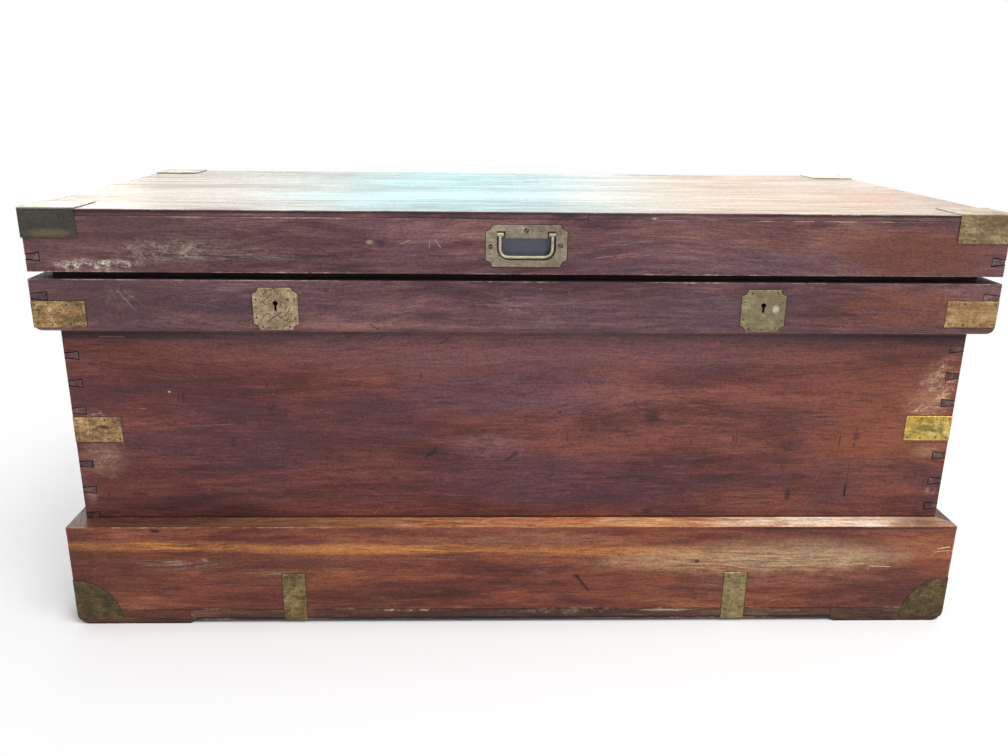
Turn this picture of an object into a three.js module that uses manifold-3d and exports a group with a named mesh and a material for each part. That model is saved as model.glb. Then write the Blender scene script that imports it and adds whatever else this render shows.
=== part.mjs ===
// Campaign chest: a lidded trunk on a plinth, with an applied band, let-in brass and two box locks.
// Millimetres. X runs to the right, Y to the back and Z up from the floor under the middle of the chest.

import * as THREE from 'three';
import { mergeVertices } from 'three/addons/utils/BufferGeometryUtils.js';
import Module from 'manifold-3d';

const wasm = await Module();
wasm.setup();

// Driving dimensions: the storeys of the chest, from the floor up
const footHeight = 19;
const plinthHeight = 110.5;
const bodyHeight = 236.2;
const bandHeight = 59.5;
const lidGap = 8.4;
const lidHeight = 67.6;
const bodyWidth = 1035;
const bodyDepth = 454;

// How far the plinth, the band and the lid stand out past the body, at its ends and at its front and back
const plinthEndStep = 14.5;
const plinthFaceStep = 26;
const bandEndStep = 18.5;
const bandFaceStep = 21;
const lidEndStep = 16.5;
const lidFaceStep = 23;

// Boards, and the room between the lid's skirts and the body
const wallThickness = 16;
const endThickness = 16;
const bottomThickness = 16;
const lipRise = 20.8;
const bandArris = 9;
const skirtRoom = 3;
const skirtEndRoom = 1.5;
const topEdge = 7.5;
const topPanelDrop = 10;

// Feet under the plinth's corners, and how high its edges run above the floor between them
const footLength = 140;
const footDepth = 120;
const footRound = 14;
const footChamfer = 5;
const floorClearance = 5;

// Dovetails: the pins belong to the end boards and show on the front and back
const pinBase = 9.5;
const pinTip = 5.5;
const bodyPinPitch = 33.3;
const leftBodyPinRise = 31.7;
const rightBodyPinRise = 9.8;
const bandPinRise = 17.3;
const leftBandPinTop = 40.7;
const rightBandPinTop = 43.2;
const lidPinRise = 16.4;
const lidPinPitch = 30;

// Clearances, and the overrun that takes a cutting shape past the face it starts from
const fit = 0.3;
const overrun = 4;

// Sheet brass let into the corners and edges, and the caps laid over the lid's corners
const brassThickness = 1.6;
const brassProud = 0.4;
const bandStrapLength = 58;
const bandStrapHeight = 30;
const leftBandStrapRise = 20.3;
const rightBandStrapRise = 24.6;
const bodyStrapLength = 55;
const bodyStrapHeight = 31;
const leftBodyStrapRise = 113.5;
const rightBodyStrapRise = 116.5;
const plinthStrapWidth = 28;
const plinthStrapHeight = 63;
const plinthStrapReturn = 20;
const plinthStrapSetIn = 263.5;
const plinthCornerRadius = 54;
const plinthCornerBase = 6;
const capThickness = 1.5;
const capLength = 58;
const capHeight = 31;

// Box locks let into the front wall, their keyholes and escutcheons
const lockSetIn = 246.8;
const lockWidth = 76;
const lockHeight = 62;
const lockCover = 5;
const lockWall = 1.5;
const selvedgeCover = 2;
const selvedgeThickness = 2.5;
const keyholeDrop = 46.5;
const keyholeRadius = 2.8;
const keyholeSlotWidth = 2.4;
const keyholeSlotDrop = 8.5;
const escutcheonWidth = 49.8;
const escutcheonHeight = 48;
const escutcheonNotch = 6.6;
const escutcheonSink = 6.4;

// Link plates on the lid with two staples each, and the bolts that slide through the staples
const linkPlateThickness = 2;
const stapleThickness = 4;
const stapleWidth = 6.4;
const stapleDrop = 17;
const stapleSide = 1;
const stapleFoot = 3;
const stapleEyeHeight = 7.5;
const stapleRoom = 0.6;
const firstStaple = -16;
const secondStaple = 20;
const boltTravel = 8;
const boltTipGap = 1;
const boltThickness = 3.4;
const boltPostWidth = 5;
const boltNoseHeight = 5;
const boltBarHeight = 8;
const boltBarDrop = 30;
const boltBarStart = -34;
const boltBarEnd = 24;
const talonWidth = 8;
const talonHeight = 3;
const ledgeThickness = 4;
const nearLedgeLength = 14.5;
const farLedgeLength = 24.5;

// Butt hinges in the gap between band and lid
const hingeSetIn = 187.5;
const hingeLength = 76;
const hingeKnuckles = 5;
const hingeInset = 2;
const hingePinRadius = 1.6;
const leafThickness = 3.4;
const leafWidth = 15.5;
const knuckleRadius = 4;
const knuckleGap = 0.4;

// Flush handles: one on the front of the lid, and a larger one on each end of the body
const lidHandle = {
  rise: 31,
  offset: 4.4,
  plateWidth: 88.5,
  plateHeight: 45.7,
  plateThickness: 2.5,
  notch: 7,
  openingWidth: 64,
  openingHeight: 31.6,
  openingCorner: 13,
  tongueWidth: 45.5,
  tongueHeight: 7.5,
  cupCover: 6.6,
  cupWall: 3.2,
  cupFloor: 1.5,
  rodRadius: 2,
  rodGap: 1.4,
  barrelRadius: 3,
  barrelLength: 7,
  barrelRoom: 0.4,
  pinRadius: 1.2,
  pinLength: 2,
};
const endHandle = {
  rise: 132.5,
  offset: 0,
  plateWidth: 124,
  plateHeight: 66,
  plateThickness: 3,
  notch: 10,
  openingWidth: 92,
  openingHeight: 46,
  openingCorner: 18,
  tongueWidth: 66,
  tongueHeight: 11,
  cupCover: 3,
  cupWall: 4.2,
  cupFloor: 1.5,
  rodRadius: 3,
  rodGap: 2,
  barrelRadius: 4.4,
  barrelLength: 10,
  barrelRoom: 0.5,
  pinRadius: 1.8,
  pinLength: 3,
};

// How finely round stretches are faceted
const arcSegments = 4;
const barrelSides = 12;
const rodSides = 8;
const rodSteps = 26;

// Levels and half sizes that follow from the driving dimensions
const plinthTop = footHeight + plinthHeight;
const bandBottom = plinthTop + bodyHeight;
const bandTop = bandBottom + bandHeight;
const lidBottom = bandTop + lidGap;
const lidTop = lidBottom + lidHeight;
const floorTop = footHeight + bottomThickness;
const lipTop = bandTop + lipRise;
const skirtTop = lidTop - topEdge;
const panelBottom = skirtTop - topPanelDrop;
const railBottom = lipTop + fit;
const halfBody = bodyWidth / 2;
const halfBodyDepth = bodyDepth / 2;
const halfPlinth = halfBody + plinthEndStep;
const halfPlinthDepth = halfBodyDepth + plinthFaceStep;
const halfBand = halfBody + bandEndStep;
const halfBandDepth = halfBodyDepth + bandFaceStep;
const halfLid = halfBody + lidEndStep;
const halfLidDepth = halfBodyDepth + lidFaceStep;
const skirtThickness = lidFaceStep - skirtRoom;
const skirtEndThickness = lidEndStep - skirtEndRoom;
const wallInner = halfBodyDepth - wallThickness;
const brassDepth = brassThickness - brassProud;
const lockDepth = wallThickness - lockCover;
const selvedgeDepth = wallThickness - selvedgeCover;

// Middles of the locks, the hinges and the plinth's straps, set in from the ends
const lockOffset = halfBody - lockSetIn;
const hingeOffset = halfBody - hingeSetIn;
const plinthStrapOffset = halfPlinth - plinthStrapSetIn;

// The four corners: each is drawn at the back right, where X and Y are positive, and mirrored to its place
const sides = [{ name: 'left', x: -1 }, { name: 'right', x: 1 }];
const faces = [{ name: 'front', y: -1 }, { name: 'back', y: 1 }];
const corners = sides.flatMap((side) => faces.map((face) => (
  { side, face, name: `${face.name}_${side.name}` }
)));

// Finishes
function finish(color, roughness, metalness) {
  return () => new THREE.MeshStandardMaterial({ color, roughness, metalness });
}
const lidWood = finish(0x6b4238, 0.5, 0);
const bodyWood = finish(0x66352c, 0.5, 0);
const plinthWood = finish(0x8a4f30, 0.5, 0);
const insideWood = finish(0x7c5a40, 0.75, 0);
const brass = finish(0xb2935a, 0.42, 0.9);
const darkBrass = finish(0x5e573f, 0.55, 0.8);
const lockBrass = finish(0x9a8350, 0.4, 0.9);
const steel = finish(0x6c6a66, 0.45, 0.9);

// An outline is drawn in X and Y, then stood up and drawn out along Y or along X
const xAxis = new THREE.Vector3(1, 0, 0);
const yAxis = new THREE.Vector3(0, 1, 0);
const zAxis = new THREE.Vector3(0, 0, 1);
const standAlongY = new THREE.Matrix4().makeBasis(xAxis, zAxis, yAxis.clone().negate());
const standAlongX = new THREE.Matrix4().makeBasis(yAxis, zAxis, xAxis);

// Joining and cutting closed shapes
function toSolid(geometry) {
  const bare = geometry.clone();
  bare.deleteAttribute('normal');
  bare.deleteAttribute('uv');
  const merged = mergeVertices(bare);
  return new wasm.Manifold(new wasm.Mesh({
    numProp: 3,
    vertProperties: new Float32Array(merged.getAttribute('position').array),
    triVerts: new Uint32Array(merged.getIndex().array),
  }));
}

function toGeometry(solid) {
  const mesh = solid.getMesh();
  const geometry = new THREE.BufferGeometry();
  geometry.setAttribute('position', new THREE.BufferAttribute(new Float32Array(mesh.vertProperties), 3));
  geometry.setIndex(new THREE.BufferAttribute(new Uint32Array(mesh.triVerts), 1));
  return geometry;
}

function join(base, ...others) {
  return toGeometry(others.reduce((solid, other) => solid.add(toSolid(other)), toSolid(base)));
}

function cut(base, ...tools) {
  return toGeometry(tools.reduce((solid, tool) => solid.subtract(toSolid(tool)), toSolid(base)));
}

// Mirrors a shape from the back right to another corner and keeps its faces pointing out
function toCorner(geometry, side, face) {
  const placed = toGeometry(toSolid(geometry)).scale(side.x, face.y, 1);
  if (side.x * face.y > 0) return placed;
  const index = placed.getIndex();
  for (let i = 0; i < index.count; i += 3) {
    const first = index.getX(i);
    index.setX(i, index.getX(i + 1));
    index.setX(i + 1, first);
  }
  return placed;
}

// Basic shapes
function block([x0, x1], [y0, y1], [z0, z1]) {
  const geometry = new THREE.BoxGeometry(x1 - x0, y1 - y0, z1 - z0);
  return geometry.translate((x0 + x1) / 2, (y0 + y1) / 2, (z0 + z1) / 2);
}

function drawOut(shape, depth) {
  return new THREE.ExtrudeGeometry(shape, { depth, bevelEnabled: false, curveSegments: arcSegments });
}

function prismAlongZ(shape, [from, to]) {
  return drawOut(shape, to - from).translate(0, 0, from);
}

function prismAlongY(shape, [from, to]) {
  return drawOut(shape, to - from).applyMatrix4(standAlongY).translate(0, to, 0);
}

function prismAlongX(shape, [from, to]) {
  return drawOut(shape, to - from).applyMatrix4(standAlongX).translate(from, 0, 0);
}

function outline(points) {
  return new THREE.Shape(points.map(([a, b]) => new THREE.Vector2(a, b)));
}

function rodAlongX(radius, [from, to], y, z) {
  const geometry = new THREE.CylinderGeometry(radius, radius, to - from, barrelSides);
  return geometry.rotateZ(Math.PI / 2).translate((from + to) / 2, y, z);
}

// A rectangle with a quarter circle bitten out of each corner; grow widens it evenly for a pocket
function notchedOutline(width, height, notch, grow) {
  const w = width / 2;
  const h = height / 2;
  const bite = notch - grow;
  const start = Math.asin(grow / bite);
  const shape = new THREE.Shape();
  shape.absarc(w, -h, bite, Math.PI + start, Math.PI / 2 - start, true);
  shape.absarc(w, h, bite, -Math.PI / 2 + start, -Math.PI - start, true);
  shape.absarc(-w, h, bite, start, -Math.PI / 2 - start, true);
  shape.absarc(-w, -h, bite, Math.PI / 2 + start, -start, true);
  return shape;
}

// The scene graph
const chest = new THREE.Group();
const lid = new THREE.Group();
chest.add(lid);

function put(parent, name, geometry, material) {
  const mesh = new THREE.Mesh(geometry, material());
  mesh.name = name;
  parent.add(mesh);
}

// Dovetail pin at the back right corner: a wedge, narrow at the outside, drawn out through the back board
function pinWedge(level, half, thickness, reach) {
  return prismAlongY(outline([
    [half - thickness, level - pinBase / 2],
    [half, level - pinTip / 2],
    [half, level + pinTip / 2],
    [half - thickness, level + pinBase / 2],
  ]), reach);
}

// The socket for that pin, with a little room round it
function pinSocket(level, half, thickness, reach) {
  const room = fit / 2;
  const flare = (pinBase - pinTip) / (2 * thickness);
  const inner = pinBase / 2 + room;
  const outer = pinTip / 2 + room - flare * overrun;
  return prismAlongY(outline([
    [half - thickness - room, level - inner],
    [half + overrun, level - outer],
    [half + overrun, level + outer],
    [half - thickness - room, level + inner],
  ]), reach);
}

// Four boards dovetailed into a frame: tails on the front and back, pins on the ends
function dovetailedFrame({ half, halfDepth, thickness, ends, z, pinLevels }) {
  const shoulder = halfDepth - thickness;
  const frame = {};
  for (const face of faces) {
    const sockets = sides.flatMap((side) => pinLevels[side.name].map((level) => (
      toCorner(pinSocket(level, half, ends, [shoulder - overrun, halfDepth + overrun]), side, face)
    )));
    const board = toCorner(block([-half, half], [shoulder, halfDepth], z), sides[1], face);
    frame[face.name] = cut(board, ...sockets);
  }
  for (const side of sides) {
    const pins = faces.flatMap((face) => pinLevels[side.name].map((level) => (
      toCorner(pinWedge(level, half, ends, [shoulder - thickness, halfDepth]), side, face)
    )));
    const board = toCorner(block([half - ends, half], [-shoulder, shoulder], z), side, faces[1]);
    frame[side.name] = join(board, ...pins);
  }
  return frame;
}

// Body walls, which rise above the band as a lip inside the lid
function bodyPinLevels(rise) {
  const count = Math.floor((lipTop - floorTop - rise - pinBase) / bodyPinPitch) + 1;
  return Array.from({ length: count }, (_, index) => floorTop + rise + index * bodyPinPitch);
}

const walls = dovetailedFrame({
  half: halfBody,
  halfDepth: halfBodyDepth,
  thickness: wallThickness,
  ends: endThickness,
  z: [floorTop, lipTop],
  pinLevels: { left: bodyPinLevels(leftBodyPinRise), right: bodyPinLevels(rightBodyPinRise) },
});

// Band applied round the top of the body
const bands = dovetailedFrame({
  half: halfBand,
  halfDepth: halfBandDepth,
  thickness: bandFaceStep,
  ends: bandEndStep,
  z: [bandBottom, bandTop],
  pinLevels: {
    left: [bandBottom + bandPinRise, bandBottom + leftBandPinTop],
    right: [bandBottom + bandPinRise, bandBottom + rightBandPinTop],
  },
});

// What rounding takes off a lower outer arris, in a section whose face is at reach
function arrisWaste(reach, base, radius, lift) {
  const shape = new THREE.Shape();
  shape.moveTo(reach - radius, base - overrun);
  shape.lineTo(reach + overrun, base - overrun);
  shape.lineTo(reach + overrun, base + radius);
  shape.absarc(reach - radius, base + radius, radius + lift, 0, -Math.PI / 2, true);
  return shape;
}

const acrossBand = [-halfBandDepth - overrun, halfBandDepth + overrun];
const alongBand = [-halfBand - overrun, halfBand + overrun];
const endArris = arrisWaste(halfBand, bandBottom, bandArris, 0);
const faceArris = arrisWaste(halfBandDepth, bandBottom, bandArris, 0);
const arrises = [
  ...sides.map((side) => toCorner(prismAlongY(endArris, acrossBand), side, faces[1])),
  ...faces.map((face) => toCorner(prismAlongX(faceArris, alongBand), sides[1], face)),
];
for (const name of Object.keys(bands)) bands[name] = cut(bands[name], ...arrises);

// Plinth: mitred boards round the foot of the body
const plinths = {};
const mitreRoom = fit / 2;
const footInner = halfPlinth - footLength;
const footBack = halfPlinthDepth - footDepth;
const faceRun = [-footInner + fit, footInner - fit];
const endRun = [-footBack + fit, footBack - fit];
const plinthRise = [footHeight, plinthTop];
const runRise = [floorClearance, plinthTop];

for (const face of faces) {
  const board = prismAlongZ(outline([
    [-halfBody + mitreRoom, halfBodyDepth],
    [halfBody - mitreRoom, halfBodyDepth],
    [halfPlinth - mitreRoom, halfPlinthDepth],
    [-halfPlinth + mitreRoom, halfPlinthDepth],
  ]), plinthRise);
  plinths[face.name] = toCorner(board, sides[1], face);
}

for (const side of sides) {
  const board = prismAlongZ(outline([
    [halfBody, -halfBodyDepth + mitreRoom],
    [halfPlinth, -halfPlinthDepth + mitreRoom],
    [halfPlinth, halfPlinthDepth - mitreRoom],
    [halfBody, halfBodyDepth - mitreRoom],
  ]), plinthRise);
  const run = block([halfBody, halfPlinth], endRun, runRise);
  plinths[side.name] = toCorner(join(board, run), side, faces[1]);
}

// The back board runs down between the feet in one piece; the front one stands on a strip of its own
plinths.back = join(plinths.back, block(faceRun, [halfBodyDepth, halfPlinthDepth], runRise));
plinths.strip = block(faceRun, [-halfPlinthDepth, -halfBodyDepth], [floorClearance, footHeight]);

// Feet, rounded at the outside and chamfered at the inner end
const footShape = new THREE.Shape();
footShape.moveTo(footInner, footHeight);
footShape.lineTo(footInner, footChamfer);
footShape.lineTo(footInner + footChamfer, 0);
footShape.absarc(halfPlinth - footRound, footRound, footRound, -Math.PI / 2, 0, false);
footShape.lineTo(halfPlinth, footHeight);
const feet = {};
for (const { side, face, name } of corners) {
  feet[name] = toCorner(prismAlongY(footShape, [footBack, halfPlinthDepth]), side, face);
}

// Lid: dovetailed skirts, a rebated top, and a rail behind the front skirt that carries the link plates
const lidPinLevels = [lidBottom + lidPinRise, lidBottom + lidPinRise + lidPinPitch];
const skirts = dovetailedFrame({
  half: halfLid,
  halfDepth: halfLidDepth,
  thickness: skirtThickness,
  ends: skirtEndThickness,
  z: [lidBottom, skirtTop],
  pinLevels: { left: lidPinLevels, right: lidPinLevels },
});
const panelX = halfLid - skirtEndThickness - fit;
const panelY = halfLidDepth - skirtThickness;
const lidBoard = join(
  block([-halfLid, halfLid], [-halfLidDepth, halfLidDepth], [skirtTop, lidTop]),
  block([-panelX, panelX], [-panelY + fit, panelY - fit], [panelBottom, lidTop]),
);
const rails = { lock: block([-panelX, panelX], [-panelY, -wallInner], [railBottom, panelBottom]) };

// Corner strap at the back right, bent from sheet; grow and lift make the pocket that it is let into
function cornerStrap(half, halfDepth, length, height, level, grow, lift) {
  const shape = outline([
    [half - length - grow, halfDepth + lift],
    [half - length - grow, halfDepth - brassDepth],
    [half - brassDepth, halfDepth - brassDepth],
    [half - brassDepth, halfDepth - length - grow],
    [half + lift, halfDepth - length - grow],
    [half + lift, halfDepth + lift],
  ]);
  return prismAlongZ(shape, [level - height / 2 - grow, level + height / 2 + grow]);
}

// Fits a plate into every board that its pocket reaches
function letIn(name, material, shapeOf, side, face, ...boards) {
  const pocket = toCorner(shapeOf(fit, overrun), side, face);
  for (const [frame, board] of boards) frame[board] = cut(frame[board], pocket);
  put(chest, name, toCorner(shapeOf(0, brassProud), side, face), material);
}

for (const { side, face, name } of corners) {
  const bandLevel = bandBottom + (side.x < 0 ? leftBandStrapRise : rightBandStrapRise);
  const bodyLevel = plinthTop + (side.x < 0 ? leftBodyStrapRise : rightBodyStrapRise);
  const ofBand = (grow, lift) => (
    cornerStrap(halfBand, halfBandDepth, bandStrapLength, bandStrapHeight, bandLevel, grow, lift)
  );
  const ofBody = (grow, lift) => (
    cornerStrap(halfBody, halfBodyDepth, bodyStrapLength, bodyStrapHeight, bodyLevel, grow, lift)
  );
  letIn(`${name}_band_strap`, brass, ofBand, side, face, [bands, face.name], [bands, side.name]);
  letIn(`${name}_body_strap`, brass, ofBody, side, face, [walls, face.name], [walls, side.name]);
}

// Quarter-round leaf on the plinth's corner, its arc struck from the corner's lower end
function quarterLeaf(reach, base, grow, lift) {
  const radius = plinthCornerRadius + grow;
  const shape = new THREE.Shape();
  shape.moveTo(reach - radius, base - grow);
  shape.lineTo(reach + lift, base - grow);
  shape.lineTo(reach + lift, base + radius);
  shape.absarc(reach, base, radius, Math.PI / 2, Math.PI, false);
  return shape;
}

// Plinth corner plate: a leaf on each face, both following the rounded end of the foot
function plinthCorner(grow, lift) {
  const leaves = join(
    prismAlongY(quarterLeaf(halfPlinth, plinthCornerBase, grow, lift), [
      halfPlinthDepth - brassDepth, halfPlinthDepth + lift,
    ]),
    prismAlongX(quarterLeaf(halfPlinthDepth, plinthCornerBase, grow, lift), [
      halfPlinth - brassDepth, halfPlinth + lift,
    ]),
  );
  if (grow) return leaves;
  const footEnd = arrisWaste(halfPlinth, 0, footRound, lift);
  return cut(leaves, prismAlongY(footEnd, [0, halfPlinthDepth + overrun]));
}

// Strap down the face of the plinth and round under its lower edge
function plinthStrap(grow, lift) {
  const shape = outline([
    [halfPlinthDepth - plinthStrapReturn - grow, floorClearance - lift],
    [halfPlinthDepth + lift, floorClearance - lift],
    [halfPlinthDepth + lift, floorClearance + plinthStrapHeight + grow],
    [halfPlinthDepth - brassDepth, floorClearance + plinthStrapHeight + grow],
    [halfPlinthDepth - brassDepth, floorClearance + brassDepth],
    [halfPlinthDepth - plinthStrapReturn - grow, floorClearance + brassDepth],
  ]);
  const reach = plinthStrapWidth / 2 + grow;
  return prismAlongX(shape, [plinthStrapOffset - reach, plinthStrapOffset + reach]);
}

for (const { side, face, name } of corners) {
  letIn(
    `${name}_plinth_corner`, darkBrass, plinthCorner, side, face,
    [plinths, face.name], [plinths, side.name], [feet, name],
  );
}
for (const side of sides) {
  letIn(
    `${side.name}_plinth_strap`, brass, plinthStrap, side, faces[0],
    [plinths, 'front'], [plinths, 'strip'],
  );
}

// Caps of sheet brass laid over the corners of the lid
const lidCap = cut(
  block(
    [halfLid - capLength, halfLid + capThickness],
    [halfLidDepth - capLength, halfLidDepth + capThickness],
    [lidTop - capHeight, lidTop + capThickness],
  ),
  block(
    [halfLid - capLength - overrun, halfLid],
    [halfLidDepth - capLength - overrun, halfLidDepth],
    [lidTop - capHeight - overrun, lidTop],
  ),
);
for (const { side, face, name } of corners) {
  put(lid, `lid_${name}_corner`, toCorner(lidCap, side, face), darkBrass);
}

// Keyhole: a round hole with a slot below it
const keyholeLevel = lipTop - keyholeDrop;

function keyhole(grow, [from, to]) {
  const radius = keyholeRadius + grow;
  const slot = keyholeSlotWidth / 2 + grow;
  const start = Math.asin(slot / radius);
  const shape = new THREE.Shape();
  shape.moveTo(-slot, -keyholeSlotDrop - grow);
  shape.lineTo(slot, -keyholeSlotDrop - grow);
  shape.absarc(0, 0, radius, -Math.PI / 2 + start, Math.PI * 3 / 2 - start, false);
  return prismAlongY(shape, [from, to]).translate(lockOffset, 0, keyholeLevel);
}

function escutcheon(grow, lift) {
  const shape = notchedOutline(escutcheonWidth, escutcheonHeight, escutcheonNotch, grow);
  const plate = prismAlongY(shape, [halfBandDepth - brassDepth, halfBandDepth + lift]);
  plate.translate(lockOffset, 0, keyholeLevel - escutcheonSink);
  return cut(plate, keyhole(0, [halfBandDepth - brassDepth - overrun, halfBandDepth + lift + overrun]));
}

// Lock case, drawn like the corners at the back right and mirrored to the front wall
const caseY = [wallInner, wallInner + lockDepth];
const cavityY = [wallInner + lockWall, wallInner + lockDepth - lockWall];
const lockMiddle = wallInner + lockDepth / 2;
const barBottom = lipTop - boltBarDrop;
const alongLock = (from, to) => [lockOffset + from, lockOffset + to];
const halfLock = lockWidth / 2;
const staples = [firstStaple, secondStaple];

function lockBody(grow) {
  const x = alongLock(-halfLock - grow, halfLock + grow);
  const bodyZ = [lipTop - lockHeight - grow, lipTop + grow];
  const selvedgeZ = [lipTop - selvedgeThickness, lipTop + grow];
  return join(
    block(x, [caseY[0] - grow, caseY[1] + grow], bodyZ),
    block(x, [wallInner - grow, wallInner + selvedgeDepth + grow], selvedgeZ),
  );
}

function lockCase() {
  const inner = halfLock - lockWall;
  const cavityZ = [lipTop - lockHeight + lockWall, lipTop - selvedgeThickness];
  const hollow = block(alongLock(-inner, inner), cavityY, cavityZ);
  const ledgeZ = [barBottom - fit - ledgeThickness, barBottom - fit];
  const slots = staples.map((at) => block(
    alongLock(at - stapleThickness / 2 - stapleRoom, at + stapleThickness / 2 + stapleRoom),
    [lockMiddle - stapleWidth / 2 - stapleRoom, lockMiddle + stapleWidth / 2 + stapleRoom],
    [lipTop - selvedgeThickness - overrun, lipTop + overrun],
  ));
  return join(
    cut(lockBody(0), hollow, ...slots, keyhole(0, [cavityY[1] - lockWall, caseY[1] + overrun])),
    block(alongLock(-halfLock + lockWall / 2, -inner + nearLedgeLength), caseY, ledgeZ),
    block(alongLock(inner - farLedgeLength, halfLock - lockWall / 2), caseY, ledgeZ),
  );
}

// Bolt: a bar on the case's ledges, with a post and a nose for each staple
function lockBolt() {
  const y = [lockMiddle - boltThickness / 2, lockMiddle + boltThickness / 2];
  const noseMiddle = railBottom - stapleDrop + stapleFoot + stapleEyeHeight / 2;
  const noseZ = [noseMiddle - boltNoseHeight / 2, noseMiddle + boltNoseHeight / 2];
  const arms = staples.flatMap((at) => {
    const tip = at - stapleThickness / 2 - boltTipGap;
    const root = tip - boltTravel;
    return [
      block(alongLock(root - boltPostWidth, root), y, [barBottom, noseZ[1]]),
      block(alongLock(root - boltPostWidth, tip), y, noseZ),
    ];
  });
  const bar = block(alongLock(boltBarStart, boltBarEnd), y, [barBottom, barBottom + boltBarHeight]);
  const talon = block(alongLock(-talonWidth / 2, talonWidth / 2), [y[0] - overrun, y[1] + overrun], [
    barBottom - overrun, barBottom + talonHeight,
  ]);
  return cut(join(bar, ...arms), talon);
}

// Link plate, let flush into the rail, with staples that drop through the selvedge
function linkPlate() {
  const plateY = [wallInner, wallInner + selvedgeDepth];
  const plateZ = [railBottom, railBottom + linkPlateThickness];
  const plate = block(alongLock(-halfLock, halfLock), plateY, plateZ);
  const low = railBottom - stapleDrop;
  const halfWidth = stapleWidth / 2;
  const shanks = staples.map((at) => block(
    alongLock(at - stapleThickness / 2, at + stapleThickness / 2),
    [lockMiddle - halfWidth, lockMiddle + halfWidth],
    [low, railBottom + linkPlateThickness],
  ));
  const eyes = staples.map((at) => block(
    alongLock(at - stapleThickness, at + stapleThickness),
    [lockMiddle - halfWidth + stapleSide, lockMiddle + halfWidth - stapleSide],
    [low + stapleFoot, low + stapleFoot + stapleEyeHeight],
  ));
  return cut(join(plate, ...shanks), ...eyes);
}

const lockFront = faces[0];
for (const side of sides) {
  letIn(`${side.name}_escutcheon`, brass, escutcheon, side, lockFront, [bands, 'front']);
  const through = toCorner(keyhole(fit, [caseY[1] - overrun, halfBandDepth + overrun]), side, lockFront);
  bands.front = cut(bands.front, through);
  walls.front = cut(walls.front, through, toCorner(lockBody(fit), side, lockFront));
  put(chest, `${side.name}_lock_case`, toCorner(lockCase(), side, lockFront), lockBrass);
  put(chest, `${side.name}_lock_bolt`, toCorner(lockBolt(), side, lockFront), steel);
  const plateRoom = block(
    alongLock(-halfLock - fit, halfLock + fit),
    [wallInner - overrun, wallInner + selvedgeDepth + fit],
    [railBottom - overrun, railBottom + linkPlateThickness],
  );
  rails.lock = cut(rails.lock, toCorner(plateRoom, side, lockFront));
  put(lid, `${side.name}_link_plate`, toCorner(linkPlate(), side, lockFront), lockBrass);
}

// Butt hinge at the back: the lower leaf holds the pin and every other knuckle
const hingeY = halfBandDepth - hingeInset;
const hingeZ = bandTop + lidGap / 2;
const alongHinge = (from, to) => [hingeOffset + from, hingeOffset + to];
const leafEdge = hingeY - knuckleRadius - knuckleGap;

function hingeLeaf(first, z) {
  const pitch = hingeLength / hingeKnuckles;
  const start = -hingeLength / 2;
  const parts = [];
  for (let index = first; index < hingeKnuckles; index += 2) {
    const from = start + index * pitch + (index > 0 ? knuckleGap / 2 : 0);
    const to = start + (index + 1) * pitch - (index < hingeKnuckles - 1 ? knuckleGap / 2 : 0);
    parts.push(block(alongHinge(from, to), [leafEdge - leafThickness, hingeY], z));
    parts.push(rodAlongX(knuckleRadius, alongHinge(from, to), hingeY, hingeZ));
  }
  return join(block(alongHinge(start, -start), [hingeY - leafWidth, leafEdge], z), ...parts);
}

function hingePin(radius) {
  return rodAlongX(radius, alongHinge(-hingeLength / 2, hingeLength / 2), hingeY, hingeZ);
}

const lowerLeaf = join(hingeLeaf(0, [bandTop, bandTop + leafThickness]), hingePin(hingePinRadius));
const upperLeaf = cut(hingeLeaf(1, [lidBottom - leafThickness, lidBottom]), hingePin(hingePinRadius + fit));
for (const side of sides) {
  put(chest, `${side.name}_hinge_lower_leaf`, toCorner(lowerLeaf, side, faces[1]), brass);
  put(lid, `${side.name}_hinge_upper_leaf`, toCorner(upperLeaf, side, faces[1]), brass);
}

// Mouth of a flush handle's cup, with the tongue of plate that hangs between the bail's barrels
function handleMouth(handle) {
  const x = handle.openingWidth / 2;
  const z = handle.openingHeight / 2;
  const corner = handle.openingCorner;
  const shape = new THREE.Shape();
  shape.moveTo(-x, z);
  shape.lineTo(-x, -z + corner);
  shape.absarc(-x + corner, -z + corner, corner, Math.PI, Math.PI * 3 / 2, false);
  shape.absarc(x - corner, -z + corner, corner, -Math.PI / 2, 0, false);
  shape.lineTo(x, z);
  shape.lineTo(handle.tongueWidth / 2, z);
  shape.lineTo(handle.tongueWidth / 2, z - handle.tongueHeight);
  shape.lineTo(-handle.tongueWidth / 2, z - handle.tongueHeight);
  shape.lineTo(-handle.tongueWidth / 2, z);
  return shape;
}

// Centre line of the bail: down one side, round the bottom and up the other
function bailPath(x, y, top, bottom, bend) {
  const point = (px, pz) => new THREE.Vector3(px, y, pz);
  const legEnds = [point(-x, bottom + bend), point(x, bottom + bend)];
  const gripEnds = [point(-x + bend, bottom), point(x - bend, bottom)];
  const path = new THREE.CurvePath();
  path.add(new THREE.LineCurve3(point(-x, top), legEnds[0]));
  path.add(new THREE.QuadraticBezierCurve3(legEnds[0], point(-x, bottom), gripEnds[0]));
  path.add(new THREE.LineCurve3(gripEnds[0], gripEnds[1]));
  path.add(new THREE.QuadraticBezierCurve3(gripEnds[1], point(x, bottom), legEnds[1]));
  path.add(new THREE.LineCurve3(legEnds[1], point(x, top)));
  return path;
}

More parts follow.
